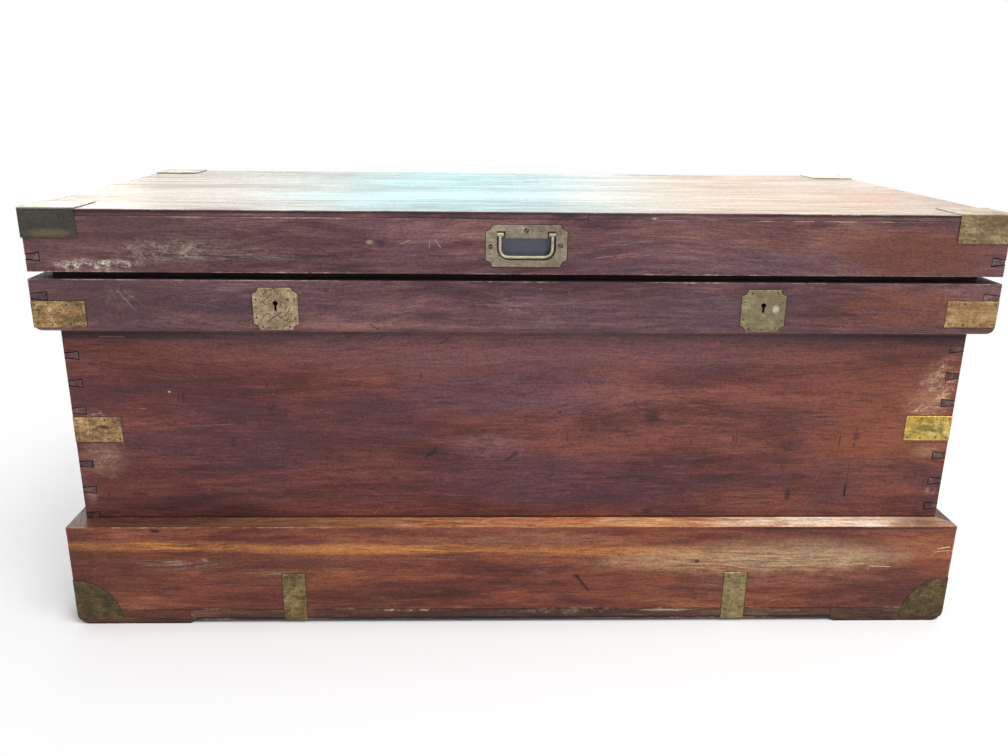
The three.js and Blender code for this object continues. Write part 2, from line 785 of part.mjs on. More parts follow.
// Flush handle facing the front, its plate centred on the origin and let into a board whose face is at Y = 0
function flushHandle(handle, boardThickness) {
  const x = handle.openingWidth / 2;
  const z = handle.openingHeight / 2;
  const panBack = boardThickness - handle.cupCover - fit;
  const cupBack = panBack - handle.cupFloor;
  const flangeBack = handle.plateThickness - brassProud;
  const pivotY = handle.barrelRadius - brassProud + fit;
  const pivotZ = z - handle.barrelRadius - handle.barrelRoom;
  const around = (reach, extra) => [-reach - handle.cupWall - extra, reach + handle.cupWall + extra];
  const face = (grow) => notchedOutline(handle.plateWidth, handle.plateHeight, handle.notch, grow);
  const tongueReach = handle.tongueWidth / 2 + fit;
  const pinHoles = [[-x - handle.pinLength - fit, -x + fit], [x - fit, x + handle.pinLength + fit]];
  const plate = cut(
    join(
      prismAlongY(face(0), [-brassProud, flangeBack]),
      block(around(x, 0), [0, panBack], around(z, 0)),
    ),
    prismAlongY(handleMouth(handle), [-overrun, cupBack]),
    block([-tongueReach, tongueReach], [flangeBack, cupBack], [z - handle.tongueHeight - fit, z]),
    ...pinHoles.map((ends) => rodAlongX(handle.pinRadius + fit, ends, pivotY, pivotZ)),
  );

  const rodX = x - handle.rodGap - handle.rodRadius;
  const rodZ = -z + handle.rodGap + handle.rodRadius;
  const bend = handle.openingCorner - handle.rodGap - handle.rodRadius;
  const section = outline(Array.from({ length: rodSides }, (_, index) => {
    const angle = index * 2 * Math.PI / rodSides;
    return [handle.rodRadius * Math.cos(angle), handle.rodRadius * Math.sin(angle)];
  }));
  const rod = new THREE.ExtrudeGeometry(section, {
    steps: rodSteps,
    extrudePath: bailPath(rodX, pivotY, pivotZ, rodZ, bend),
  });
  const end = x - fit;
  const bail = join(
    rod,
    rodAlongX(handle.barrelRadius, [-end, -end + handle.barrelLength], pivotY, pivotZ),
    rodAlongX(handle.barrelRadius, [end - handle.barrelLength, end], pivotY, pivotZ),
    rodAlongX(handle.pinRadius, [-x - handle.pinLength, -end + handle.barrelLength / 2], pivotY, pivotZ),
    rodAlongX(handle.pinRadius, [end - handle.barrelLength / 2, x + handle.pinLength], pivotY, pivotZ),
  );
  const pocket = join(
    prismAlongY(face(fit), [-overrun, flangeBack]),
    block(around(x, fit), [0, panBack + fit], around(z, fit)),
  );
  return { plate, bail, pocket };
}

const lidSet = flushHandle(lidHandle, skirtThickness);
for (const geometry of Object.values(lidSet)) {
  geometry.translate(lidHandle.offset, -halfLidDepth, lidBottom + lidHandle.rise);
}
skirts.front = cut(skirts.front, lidSet.pocket);
put(lid, 'lid_handle_plate', lidSet.plate, brass);
put(lid, 'lid_handle_bail', lidSet.bail, brass);

for (const side of sides) {
  const endSet = flushHandle(endHandle, endThickness);
  for (const geometry of Object.values(endSet)) {
    geometry.rotateZ(side.x * Math.PI / 2);
    geometry.translate(side.x * halfBody, endHandle.offset, plinthTop + endHandle.rise);
  }
  walls[side.name] = cut(walls[side.name], endSet.pocket);
  put(chest, `${side.name}_end_handle_plate`, endSet.plate, brass);
  put(chest, `${side.name}_end_handle_bail`, endSet.bail, brass);
}

// The timber, once every pocket has been cut
const bottomBoard = block([-halfBody, halfBody], [-halfBodyDepth, halfBodyDepth], [footHeight, floorTop]);
put(chest, 'bottom_board', bottomBoard, insideWood);
for (const { name } of faces) {
  put(chest, `${name}_board`, walls[name], bodyWood);
  put(chest, `${name}_band`, bands[name], bodyWood);
  put(chest, `${name}_plinth`, plinths[name], plinthWood);
  put(lid, `lid_${name}_skirt`, skirts[name], lidWood);
}
for (const { name } of sides) {
  put(chest, `${name}_end_board`, walls[name], bodyWood);
  put(chest, `${name}_end_band`, bands[name], bodyWood);
  put(chest, `${name}_end_plinth`, plinths[name], plinthWood);
  put(lid, `lid_${name}_skirt`, skirts[name], lidWood);
}
put(chest, 'front_plinth_strip', plinths.strip, plinthWood);
for (const { name } of corners) put(chest, `${name}_foot`, feet[name], plinthWood);
put(lid, 'lid_top', lidBoard, lidWood);
put(lid, 'lid_lock_rail', rails.lock, insideWood);

export default chest;
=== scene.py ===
"""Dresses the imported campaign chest: woods, brass, screws, pins and wear.

Adds a floor, soft light and a camera that stands where the photograph was taken.
"""

import math
import random
from collections import namedtuple

import bmesh
import bpy
from mathutils import Matrix, Vector

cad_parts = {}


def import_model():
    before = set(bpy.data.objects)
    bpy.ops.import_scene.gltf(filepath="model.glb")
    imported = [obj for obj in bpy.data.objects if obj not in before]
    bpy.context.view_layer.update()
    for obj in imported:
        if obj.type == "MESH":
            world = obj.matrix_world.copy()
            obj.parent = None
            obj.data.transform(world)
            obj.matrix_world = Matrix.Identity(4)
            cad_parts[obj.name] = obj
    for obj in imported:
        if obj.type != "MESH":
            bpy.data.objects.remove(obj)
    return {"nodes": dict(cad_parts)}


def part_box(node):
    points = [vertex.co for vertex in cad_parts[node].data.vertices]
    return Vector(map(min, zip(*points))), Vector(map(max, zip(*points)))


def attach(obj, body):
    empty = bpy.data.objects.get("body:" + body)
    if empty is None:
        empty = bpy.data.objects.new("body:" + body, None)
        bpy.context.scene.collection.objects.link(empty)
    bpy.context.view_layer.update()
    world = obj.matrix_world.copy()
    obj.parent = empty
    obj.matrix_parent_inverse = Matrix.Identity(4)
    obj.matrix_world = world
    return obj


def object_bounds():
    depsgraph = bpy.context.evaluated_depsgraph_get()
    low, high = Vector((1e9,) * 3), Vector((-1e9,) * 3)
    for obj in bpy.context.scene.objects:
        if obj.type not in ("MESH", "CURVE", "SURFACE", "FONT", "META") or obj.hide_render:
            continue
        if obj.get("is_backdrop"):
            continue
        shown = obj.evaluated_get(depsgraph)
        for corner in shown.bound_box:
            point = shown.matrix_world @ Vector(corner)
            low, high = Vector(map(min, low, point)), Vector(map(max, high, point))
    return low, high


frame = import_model()
CAD_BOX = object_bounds()

SIDES = {"left": -1, "right": 1}
FACES = {"front": -1, "back": 1}
CORNERS = [(face, side) for side in SIDES for face in FACES]
OUTWARD = {
    "front": Vector((0, -1, 0)), "back": Vector((0, 1, 0)),
    "left": Vector((-1, 0, 0)), "right": Vector((1, 0, 0)),
}


def tone(code):
    """Linear colour of a six-digit web colour."""
    channels = [int(code[start:start + 2], 16) / 255 for start in (0, 2, 4)]
    linear = [c / 12.92 if c <= 0.04045 else ((c + 0.055) / 1.055) ** 2.4 for c in channels]
    return (*linear, 1.0)


class Shader:
    """The nodes of a material or a world. Each method adds a node and gives its output."""

    def __init__(self, owner):
        self.owner = owner
        owner.use_nodes = True
        self.tree = owner.node_tree
        self.tree.nodes.clear()

    def add(self, kind, inputs=(), **settings):
        node = self.tree.nodes.new("ShaderNode" + kind)
        for key, value in settings.items():
            setattr(node, key, value)
        for key, value in dict(inputs).items():
            if isinstance(value, bpy.types.NodeSocket):
                self.tree.links.new(value, node.inputs[key])
            else:
                node.inputs[key].default_value = value
        return node

    def math(self, operation, *values):
        return self.add("Math", enumerate(values), operation=operation).outputs[0]

    def total(self, *values):
        result = values[0]
        for value in values[1:]:
            result = self.math("ADD", result, value)
        return result

    def times(self, *values):
        result = values[0]
        for value in values[1:]:
            result = self.math("MULTIPLY", result, value)
        return result

    def weigh(self, *shares):
        """The sum of some values, each times its share."""
        return self.total(*(self.times(value, share) for value, share in shares))

    def swing(self, value, reach):
        """Centres a noise, which lies about 0.5, on 0 and scales it."""
        return self.times(self.math("SUBTRACT", value, 0.5), reach)

    def vector(self, operation, *values):
        node = self.add("VectorMath", enumerate(values), operation=operation)
        return node.outputs["Value" if operation in ("LENGTH", "DOT_PRODUCT") else "Vector"]

    def split(self, vector):
        return tuple(self.add("SeparateXYZ", {0: vector}).outputs)

    def combine(self, x, y, z):
        return self.add("CombineXYZ", enumerate((x, y, z))).outputs[0]

    def noise(self, at, scales, detail=3.0, roughness=0.55, distortion=0.0):
        """Noise of so many waves per metre, the same along all axes or one number for each."""
        scales = scales if isinstance(scales, tuple) else (scales,) * 3
        settings = {
            "Vector": self.vector("MULTIPLY", at, scales), "Scale": 1.0,
            "Detail": detail, "Roughness": roughness, "Distortion": distortion,
        }
        return self.add("TexNoise", settings).outputs[0]

    def step(self, value, low, high, start=0.0, end=1.0):
        """Turns smoothly from start to end while value goes from low to high."""
        settings = {0: value, 1: low, 2: high, 3: start, 4: end}
        return self.add("MapRange", settings, interpolation_type="SMOOTHSTEP").outputs[0]

    def mix(self, share, first, second):
        """Mixes two colours, each a socket or a web colour."""
        settings = {0: share, 6: first, 7: second}
        for key, value in settings.items():
            if isinstance(value, str):
                settings[key] = tone(value)
        return self.add("Mix", settings, data_type="RGBA", clamp_factor=True).outputs[2]

    def ramp(self, value, places, codes):
        node = self.add("ValToRGB", {0: value})
        points = node.color_ramp.elements
        while len(points) < len(places):
            points.new(0.5)
        for point, place, code in zip(points, places, codes.split()):
            point.position = place
            point.color = tone(code)
        return node.outputs[0]

    def bump(self, height, distance, strength):
        settings = {"Height": height, "Distance": distance, "Strength": strength}
        return self.add("Bump", settings).outputs[0]

    def finish(self, **inputs):
        """Ends in a Principled shader. The inputs are its sockets' names in lower case."""
        sockets = {}
        for name, value in inputs.items():
            sockets[name.replace("_", " ").title().replace("Ior", "IOR")] = value
        surface = self.add("BsdfPrincipled", sockets)
        self.add("OutputMaterial", {"Surface": surface.outputs[0]})
        return self.owner


def edge_distance(shader, place, box):
    """How far a point on a box is from the nearest edge of that box."""
    spans = []
    for value, low, high in zip(place, *box):
        above, below = shader.math("SUBTRACT", value, low), shader.math("SUBTRACT", high, value)
        spans.append(shader.math("MINIMUM", above, below))
    first, second, third = spans
    lesser = shader.math("MINIMUM", first, second)
    greater = shader.math("MAXIMUM", first, second)
    return shader.math("MAXIMUM", lesser, shader.math("MINIMUM", greater, third))


# Marks on a board, in millimetres across and up its front face, or along and across its top:
# a soft patch, whose outline is more or less ragged, or a straight stroke. Either may be broken
# up by scuffs, by fine lines or by the grain.
MM = 0.001
Patch = namedtuple(
    "Patch", "centre radii colour strength broken ragged plane", defaults=("", 0.9, "front"))
Stroke = namedtuple(
    "Stroke", "start end width colour strength broken plane", defaults=("", "front"))


def mark_mask(shader, mark, spot, uneven):
    """Where a mark covers the face, from 0 to its strength. Spot is the place on the face."""
    if isinstance(mark, Patch):
        offset = shader.vector("SUBTRACT", spot, Vector((*mark.centre, 0)) * MM)
        shrink = [1 / (radius * MM) for radius in mark.radii]
        offset = shader.vector("MULTIPLY", offset, (*shrink, 0.0))
        ragged, outer, inner = 2 * mark.ragged, 1.0, 0.3
    else:
        start, end = (Vector((*point, 0)) * MM for point in (mark.start, mark.end))
        run = end - start
        turn = run.normalized()
        offset = shader.vector("SUBTRACT", spot, start)
        along = shader.vector("DOT_PRODUCT", offset, turn)
        kept = shader.add("Clamp", {"Value": along, "Max": run.length}).outputs[0]
        nearest = shader.add("VectorMath", {0: turn, "Scale": kept}, operation="SCALE")
        offset = shader.vector("SUBTRACT", offset, nearest.outputs[0])
        ragged = mark.width * MM
        outer, inner = ragged / 2, ragged / 5
    distance = shader.math("MULTIPLY_ADD", uneven, ragged, shader.vector("LENGTH", offset))
    return shader.step(distance, outer, inner, 0.0, mark.strength)


BAND_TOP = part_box("front_band")[1].z
STRIP_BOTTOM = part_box("front_plinth_strip")[0].z / MM
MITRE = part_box("right_end_board")[1].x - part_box("back_board")[1].y

# Woods: four tones from dark to light; the colour and strength of the clouds in the wood, of the
# haze of old polish, whose purple-grey is also a painted sheen, and of worn edges; and the least
# and greatest roughness
WoodLook = namedtuple(
    "WoodLook", "tones cloud cloudy haze hazy worn wear smoothest roughest")
LID_LOOK = WoodLook(
    "3e2628 5a3a3c 714f4f 8d665d", "4d3743", 0.55, "8d7875", 0.1, "c2ab93", 0.75, 0.42, 0.66)
BODY_LOOK = WoodLook(
    "3b1f1e 582e2a 703d37 8a523f", "4a2f37", 0.55, "7d6468", 0.04, "a98362", 0.5, 0.42, 0.62)
PLINTH_LOOK = WoodLook(
    "40211a 622f25 7d432f 9b6240", "4f2b27", 0.45, "9a8167", 0.08, "c9ac88", 0.7, 0.42, 0.66)
FOOT_LOOK = PLINTH_LOOK._replace(tones="281412 44251d 5a3326 744630", wear=0.6)
STRIP_LOOK = PLINTH_LOOK._replace(tones="281614 452821 5c392d 7c5947", wear=0.9)
INSIDE_LOOK = WoodLook(
    "664d38 785b42 86684b 947556", "6c5641", 0.25, "a6957f", 0.08, "b39a78", 0.5, 0.6, 0.8)


def wood(name, look, box, along="X", marks=(), inside=None, top=None):
    """A board's wood. The grain runs along X or Y; marks lie on its front or its top."""
    shader = Shader(bpy.data.materials.new(name))
    mix, step, times, swing = shader.mix, shader.step, shader.times, shader.swing
    source = random.Random(name)
    coordinates = shader.add("TexCoord").outputs
    here = coordinates["Object"]
    place = x, y, z = shader.split(here)
    nx, ny, nz = shader.split(coordinates["Normal"])
    grain_axis, depth_axis = (x, y) if along == "X" else (y, x)
    shifts = [source.uniform(1.0, 9.0) for _ in range(3)]
    straight = shader.vector("ADD", shader.combine(grain_axis, z, depth_axis), shifts)
    aside = swing(shader.noise(straight, (3.0, 8.0, 8.0), detail=2.0), 0.035)
    grain = shader.vector("ADD", straight, shader.combine(0.0, aside, aside))

    def grained(along_grain, across_grain, **settings):
        """Noise of so many waves per metre along and across the grain."""
        return shader.noise(grain, (along_grain, across_grain, across_grain), **settings)

    figure = grained(3.4, 17.0, detail=6.0, roughness=0.6, distortion=0.4)
    ripple = grained(13.0, 120.0, detail=5.0, roughness=0.68, distortion=0.4)
    fibre = grained(30.0, 400.0, detail=4.0, roughness=0.72)
    fleck = grained(270.0, 520.0, detail=2.0, roughness=0.7)
    pore = step(grained(60.0, 1150.0, detail=1.0), 0.6, 0.72)
    cloud = grained(4.0, 13.0, detail=5.0, roughness=0.62, distortion=0.6)
    rough = shader.noise(here, 60.0, detail=5.0, roughness=0.72)

    darkest = look.tones.split()[0]
    value = shader.weigh((figure, 0.6), (ripple, 0.4))
    colour = shader.ramp(value, (0.35, 0.455, 0.54, 0.67), look.tones)
    colour = mix(times(pore, 0.55), colour, darkest)
    clouded = times(step(cloud, 0.45, 0.62), look.cloudy)
    colour = mix(clouded, colour, look.cloud)

    # Haze of old polish, broken up by the grain, its purple-grey also a painted sheen; then thin
    # scratches and tiny specks
    haze = grained(6.0, 19.0, detail=5.0, roughness=0.7, distortion=0.6)
    broken = step(fibre, 0.36, 0.62)
    haze_and_sheen_mask = times(step(haze, 0.5, 0.72), broken, look.hazy * 3)
    colour = mix(haze_and_sheen_mask, colour, look.haze)
    scratched = 0.0
    for angle, along_line, across_line in ((0.1, 12.0, 560.0), (-0.6, 60.0, 640.0)):
        settings = {"Vector": grain, "Angle": angle}
        turned = shader.add("VectorRotate", settings, rotation_type="Z_AXIS").outputs[0]
        lines = shader.noise(turned, (along_line, across_line, 30.0), detail=0.0)
        kept = shader.noise(turned, (7.0, 15.0, 15.0), detail=1.0)
        drawn = times(step(lines, 0.75, 0.82), step(kept, 0.62, 0.72))
        scratched = shader.math("MAXIMUM", scratched, drawn)
    colour = mix(times(scratched, 0.3), colour, look.worn)
    specks = shader.noise(here, 380.0, detail=1.0)
    colour = mix(step(specks, 0.765, 0.80, 0.0, 0.45), colour, look.worn)
    colour = mix(step(specks, 0.27, 0.22, 0.0, 0.7), colour, darkest)

    # End grain is darker and duller than the faces
    end_grain = step(shader.math("ABSOLUTE", nx if along == "X" else ny), 0.6, 0.85)
    end_colour = mix(step(rough, 0.40, 0.60), "33262a", "6b5850")
    colour = mix(times(end_grain, 0.66), colour, end_colour)

    upward = step(nz, 0.5, 0.8)
    shaded_and_dulled = 0.0
    if top:
        colour, shaded_and_dulled = top(shader, colour, place, upward, grained)
    if marks:
        planes = {
            "front": (step(ny, -0.5, -0.8), shader.combine(x, z, 0.0)),
            "top": (upward, shader.combine(x, y, 0.0)),
        }
        scuffs = shader.noise(here, (90.0, 90.0, 150.0), detail=7.0, roughness=0.86)
        lines = grained(20.0, 420.0, detail=5.0, roughness=0.75, distortion=0.5)
        streaks = shader.weigh((fibre, 0.5), (figure, 0.5))
        breaks = {
            "scuffs": step(scuffs, 0.47, 0.62), "lines": step(lines, 0.46, 0.64),
            "grain": step(streaks, 0.4, 0.56, 0.25, 1.0),
        }
        uneven = shader.total(shader.weigh((rough, 0.35), (haze, 0.4), (fibre, 0.25)), -0.5)
        for mark in marks:
            facing_share, spot = planes[mark.plane]
            mask = times(mark_mask(shader, mark, spot, uneven), facing_share)
            if mark.broken:
                mask = times(mask, breaks[mark.broken])
            colour = mix(mask, colour, mark.colour)

    # Nicked and worn edges, then the finest grain, which changes the brightness alone
    nicked = shader.total(edge_distance(shader, place, box), swing(rough, 0.006))
    patchy = step(shader.noise(here, 11.0, detail=5.0), 0.47, 0.6)
    worn = times(step(nicked, 0.0013, -0.0007), patchy, look.wear)
    colour = mix(worn, colour, look.worn)
    dull = 0.0
    if inside:
        colour, dull = inside(shader, colour, value, place)
    brightness = shader.total(1.0, swing(fibre, 1.6), swing(fleck, 1.5))
    colour = shader.vector("MULTIPLY", colour, brightness)

    sheen = shader.weigh((fibre, 0.5), (haze, 0.5))
    roughness = step(sheen, 0.35, 0.65, look.smoothest, look.roughest)
    roughness = shader.math("MAXIMUM", roughness, times(dull, 0.78))
    roughness = shader.math("MAXIMUM", roughness, times(shaded_and_dulled, 0.95))
    waves = shader.noise(here, 13.0, detail=1.0)
    height = shader.weigh((fibre, 0.5), (pore, -0.35), (waves, 2.4))
    return shader.finish(
        base_color=colour, roughness=roughness, normal=shader.bump(height, 0.0006, 0.8),
        specular_ior_level=0.25, coat_weight=0.03, coat_roughness=0.35,
    )


def bare_wood(shader, value):
    """Wood left unpolished, in the tones of the inside."""
    return shader.ramp(value, (0.30, 0.45, 0.56, 0.74), INSIDE_LOOK.tones)


def bare_inside(edge_x, edge_y):
    """Bares the inner face of a wall: everything nearer the middle than the two edges."""
    def apply(shader, colour, value, place):
        within = shader.times(*(
            shader.step(shader.math("ABSOLUTE", along), edge + 0.0006, edge + 0.0001)
            for along, edge in zip(place, (edge_x, edge_y))
        ))
        return shader.mix(within, colour, bare_wood(shader, value)), within
    return apply


def bare_below(level):
    """Bares the underside of the lid's top."""
    def apply(shader, colour, value, place):
        below = shader.step(place[2], level + 0.0012, level + 0.0004)
        return shader.mix(below, colour, bare_wood(shader, value)), below
    return apply


# Finishes of upward faces, some of them with painted light, shade or reflection. Each gives the
# new colour and how far the face is made dull.
def worn_pale_and_shine_top(shader, colour, place, upward, grained):
    """The lid's upper face: old polish worn dull and pale in streaks, in a tint that is partly a
    painted reflection of the shine, greyer in the middle and warmer at the ends.
    """
    streak = grained(4.5, 120.0, detail=6.0, roughness=0.78, distortion=0.3)
    broad = grained(2.2, 9.0, detail=5.0, roughness=0.6)
    along = shader.total(place[0], shader.swing(broad, 0.5), 0.55)
    # Partly painted reflection: the tint along the lid is greyer in the middle and warmer at the
    # ends, like the shine on it.
    deep = shader.ramp(
        along, (0.05, 0.22, 0.42, 0.60, 0.78, 0.92, 1.0),
        "80695a 907462 857c74 8b837c 9a7b62 9c7456 8f7562",
    )
    pale = shader.ramp(
        along, (0.05, 0.25, 0.42, 0.60, 0.78, 1.0), "ab9d90 b3a59a a9a7a3 b1afab b9a797 b1a192",
    )
    amount = shader.step(shader.weigh((streak, 0.65), (broad, 0.35)), 0.42, 0.56)
    tint = shader.mix(amount, deep, pale)
    covered = shader.math("SUBTRACT", 1.0, shader.step(streak, 0.42, 0.34, 0.08, 0.55))
    return shader.mix(shader.times(upward, covered), colour, tint), 0.0


def lit_and_shaded_ledge_top(shader, colour, place, upward, grained):
    """The plinth's upper edge, with painted light and shade: honey-coloured where lit, palest
    right of the middle, shaded at the left and at the ends.
    """
    mix, step, times = shader.mix, shader.step, shader.times
    x, y, _ = place
    far_x, far_y = (shader.math("ABSOLUTE", value) for value in (x, y))
    ends = step(shader.math("SUBTRACT", far_x, far_y), MITRE - 0.001, MITRE + 0.001)
    streak = grained(16.0, 90.0, detail=6.0, roughness=0.75, distortion=0.9)
    # Painted light along the ledge: unlit at the left, lit from there towards the right.
    lit = step(x, -0.50, 0.12)
    from_peak = shader.math("ABSOLUTE", shader.math("SUBTRACT", x, 0.375))
    peak = times(lit, step(from_peak, 0.17, 0.03))
    # Painted shade on the ledge where it is unlit.
    shaded = mix(times(upward, 0.6), colour, "4c342d")
    honey = shader.ramp(streak, (0.36, 0.46, 0.56, 0.68), "8a5238 b6744a cc8f62 e6bd92")
    # A painted highlight, palest where the light on the ledge peaks.
    painted_glare = shader.ramp(streak, (0.38, 0.5, 0.6), "c89c7a f2d2b0 fdf2e4")
    tint = mix(peak, honey, painted_glare)
    # Painted shade towards the right end of the ledge.
    tint = mix(step(x, 0.43, 0.50, 0.0, 0.62), tint, "7c5f50")
    front = mix(times(lit, upward), shaded, tint)
    # Painted shade at the mitred ends.
    return mix(times(ends, upward, 0.85), front, "3c332f"), 0.0


def shaded_gap_top(shader, colour, place, upward, grained):
    """The band's upper edge and the boards' lip above it, painted in the shade of the gap under
    the lid, and made dull.
    """
    above_band = shader.step(place[2], BAND_TOP, BAND_TOP + 0.0004)
    lip = shader.math("MAXIMUM", upward, above_band)
    # Painted shade on the band's top and on the lip in the gap under the lid.
    return shader.mix(shader.times(lip, 0.88), colour, "3a3134"), lip


# Brasses: four tones from dark patina to bright metal; how far the patina reaches and how much
# it varies; the least and greatest roughness; and how strongly it is smudged and in what colour
BrassLook = namedtuple(
    "BrassLook", "tones tarnish contrast smoothest roughest smudged smudge")
GOLD_LOOK = BrassLook("3a2d20 7a5e41 aa895e d8b98d", 0.49, 1.0, 0.32, 0.6, 0.6, "564a38")
BRIGHT_LOOK = BrassLook("6a531f a08038 c6a450 e6cd84", 0.46, 0.7, 0.28, 0.5, 0.75, "6e6236")
PALE_LOOK = BrassLook("40331f 7a694a 9a8861 c1ae80", 0.49, 0.8, 0.34, 0.6, 0.35, "5e5644")
ESCUTCHEON_LOOK = PALE_LOOK._replace(tones="493928 88745c ad967a d9c1a0")
GREYED_LOOK = BrassLook("463d2a 70644a 8d8164 b3a884", 0.49, 0.7, 0.34, 0.6, 0.4, "625c49")
BROWN_LOOK = BrassLook("362c22 68553e 8c7658 b8a27c", 0.48, 0.8, 0.36, 0.62, 0.4, "54462f")
OLIVE_LOOK = BrassLook("352c1d 655339 8b7751 b8a273", 0.49, 0.8, 0.4, 0.66, 0.5, "4c4432")
DARK_LOOK = BrassLook("2a241a 4d412e 6b5b3f 958259", 0.5, 0.8, 0.42, 0.68, 0.5, "2e281c")
SLATE_LOOK = BrassLook("282623 403e39 55514a 777164", 0.5, 0.5, 0.4, 0.62, 0.3, "333431")
BRONZE_LOOK = BrassLook("483d31 756857 948675 bcae98", 0.49, 0.7, 0.34, 0.55, 0.3, "5a5044")
BAIL_LOOK = BrassLook("504733 8a7f63 b5ab8c dcd3b4", 0.46, 0.6, 0.22, 0.4, 0.2, "5a5544")
LOCK_LOOK = BrassLook("453a20 7c6936 a08a4c bfa765", 0.46, 0.7, 0.34, 0.55, 0.3, "5a4d2c")
STEEL_LOOK = BrassLook("2c2b29 504e4a 74716b 95918a", 0.45, 0.7, 0.3, 0.5, 0.2, "3a3633")
PIN_RADIUS = 0.0012
SCRATCH_TONE = "3b2e1e"


def brass(name, look, rivets=(), squiggles=0.0, cup=None, pale_from=0.0, marks=()):
    """A sheet or rod of aged brass.

    Rivets are flush pins at the places given. Squiggles are fine engraved-looking scratches; the
    hollow of a handle, when given, is painted in shade; above the glare height, when given, the
    metal is paled and made less metallic as a painted glare.
    """
    shader = Shader(bpy.data.materials.new(name))
    mix, step, times, noise = shader.mix, shader.step, shader.times, shader.noise
    source = random.Random(name)
    here = shader.add("TexCoord").outputs["Object"]
    place = x, _, z = shader.split(here)
    moved = shader.vector("ADD", here, [source.uniform(1.0, 9.0) for _ in range(3)])
    mottle = noise(moved, 130.0, detail=6.0, roughness=0.78, distortion=0.8)
    broad = noise(moved, 36.0, detail=4.0)
    speck = noise(moved, 560.0, detail=3.0, roughness=0.6)
    rubbed = noise(moved, (60.0, 460.0, 460.0), detail=3.0, roughness=0.7)
    value = shader.weigh((mottle, 0.36), (broad, 0.24), (rubbed, 0.2), (speck, 0.2))
    value = shader.total(shader.swing(value, look.contrast), 0.5)
    places = [look.tarnish + offset for offset in (-0.09, -0.03, 0.03, 0.1)]
    colour = shader.ramp(value, places, look.tones)
    smudges = noise(
        moved, (58.0, 58.0, 75.0), detail=7.0, roughness=0.8, distortion=0.3)
    smudges = times(step(smudges, 0.45, 0.65), look.smudged)
    colour = mix(smudges, colour, look.smudge)
    pits = step(speck, 0.6, 0.68)
    colour = mix(times(pits, 0.8), colour, look.tones.split()[0])
    if marks:
        spot, uneven = shader.combine(x, z, 0.0), shader.math("SUBTRACT", mottle, 0.5)
        for mark in marks:
            colour = mix(mark_mask(shader, mark, spot, uneven), colour, mark.colour)
    height = shader.weigh((mottle, 0.6), (pits, -0.4), (rubbed, 0.2))
    if squiggles:
        field = noise(moved, 110.0, detail=0.0, distortion=1.6)
        from_middle = shader.math("ABSOLUTE", shader.math("SUBTRACT", field, 0.5))
        gaps = step(noise(moved, 150.0, detail=0.0), 0.5, 0.56)
        drawn = times(step(from_middle, 0.05, 0.02), gaps, squiggles)
        colour = mix(drawn, colour, SCRATCH_TONE)
        height = shader.total(height, times(drawn, -1.2))
    for rivet in rivets:
        distance = shader.vector("LENGTH", shader.vector("SUBTRACT", here, rivet))
        ring = times(
            step(distance, PIN_RADIUS * 1.5, PIN_RADIUS * 1.1),
            step(distance, PIN_RADIUS * 0.6, PIN_RADIUS * 0.9),
        )
        colour = mix(times(ring, 0.8), colour, "191711")
        height = shader.total(height, times(ring, -2.0))
    metal = step(value, places[0], places[2], 0.55, 0.95)
    # Painted glare: the top of a cap is paled and made less metallic, as the light shining off it.
    if pale_from:
        above = step(z, pale_from, pale_from + 0.0006)
        painted_glare = times(above, step(broad, 0.36, 0.6, 0.35, 0.75))
        colour = mix(painted_glare, colour, "b9b09a")
        metal = times(metal, step(painted_glare, 0.0, 1.0, 1.0, 0.6))
    # Painted shade in a handle's hollow, with less metal there.
    if cup:
        axis, level, reach, shade_tone = cup
        hollow_shade = step(place[axis], level, level + reach)
        colour = mix(times(hollow_shade, 0.92), colour, shade_tone)
        metal = times(metal, step(hollow_shade, 0.0, 1.0, 1.0, 0.25))
    return shader.finish(
        base_color=colour, metallic=metal, normal=shader.bump(height, 0.0004, 0.7),
        roughness=step(mottle, 0.3, 0.7, look.roughest, look.smoothest),
    )


def dress_wood(node, look, along="X", name="", **details):
    made = wood(name or node + "_wood", look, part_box(node), along, **details)
    frame["nodes"][node].material_slots[0].material = made


def dress_brass(node, look, name="", **details):
    made = brass(name or node + "_brass", look, **details)
    frame["nodes"][node].material_slots[0].material = made


SAME_POINT = 0.00001  # corners closer than this are one


def soften(node, width, segments=2):
    """Rounds a solid's sharp edges as they show, without changing its mesh."""
    solid = frame["nodes"][node]
    weld = solid.modifiers.new("weld", "WELD")
    weld.merge_threshold = SAME_POINT
    flat = solid.modifiers.new("flat", "DECIMATE")
    flat.decimate_type = "DISSOLVE"
    flat.angle_limit = math.radians(1.0)
    bevel = solid.modifiers.new("bevel", "BEVEL")
    bevel.width = width
    bevel.segments = segments
    bevel.limit_method = "ANGLE"
    bevel.angle_limit = math.radians(35.0)
    bevel.use_clamp_overlap = True


def add_piece(name, mesh, material, body, slot, smooth=True):
    """Makes an object of a bmesh and rides it on a body."""
    data = bpy.data.meshes.new(name)
    bmesh.ops.recalc_face_normals(mesh, faces=mesh.faces)
    mesh.to_mesh(data)
    mesh.free()
    data.materials.append(material)
    if smooth:
        data.shade_smooth()
    made = bpy.data.objects.new(name, data)
    bpy.context.scene.collection.objects.link(made)
    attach(made, body)


def placed(centre, outward, turn=0.0):
    """Matrix that stands a shape drawn on X and Y on the face that points outward."""
    facing = outward.to_track_quat("Z", "Y").to_matrix().to_4x4()
    return Matrix.Translation(centre) @ facing @ Matrix.Rotation(turn, 4, "Z")


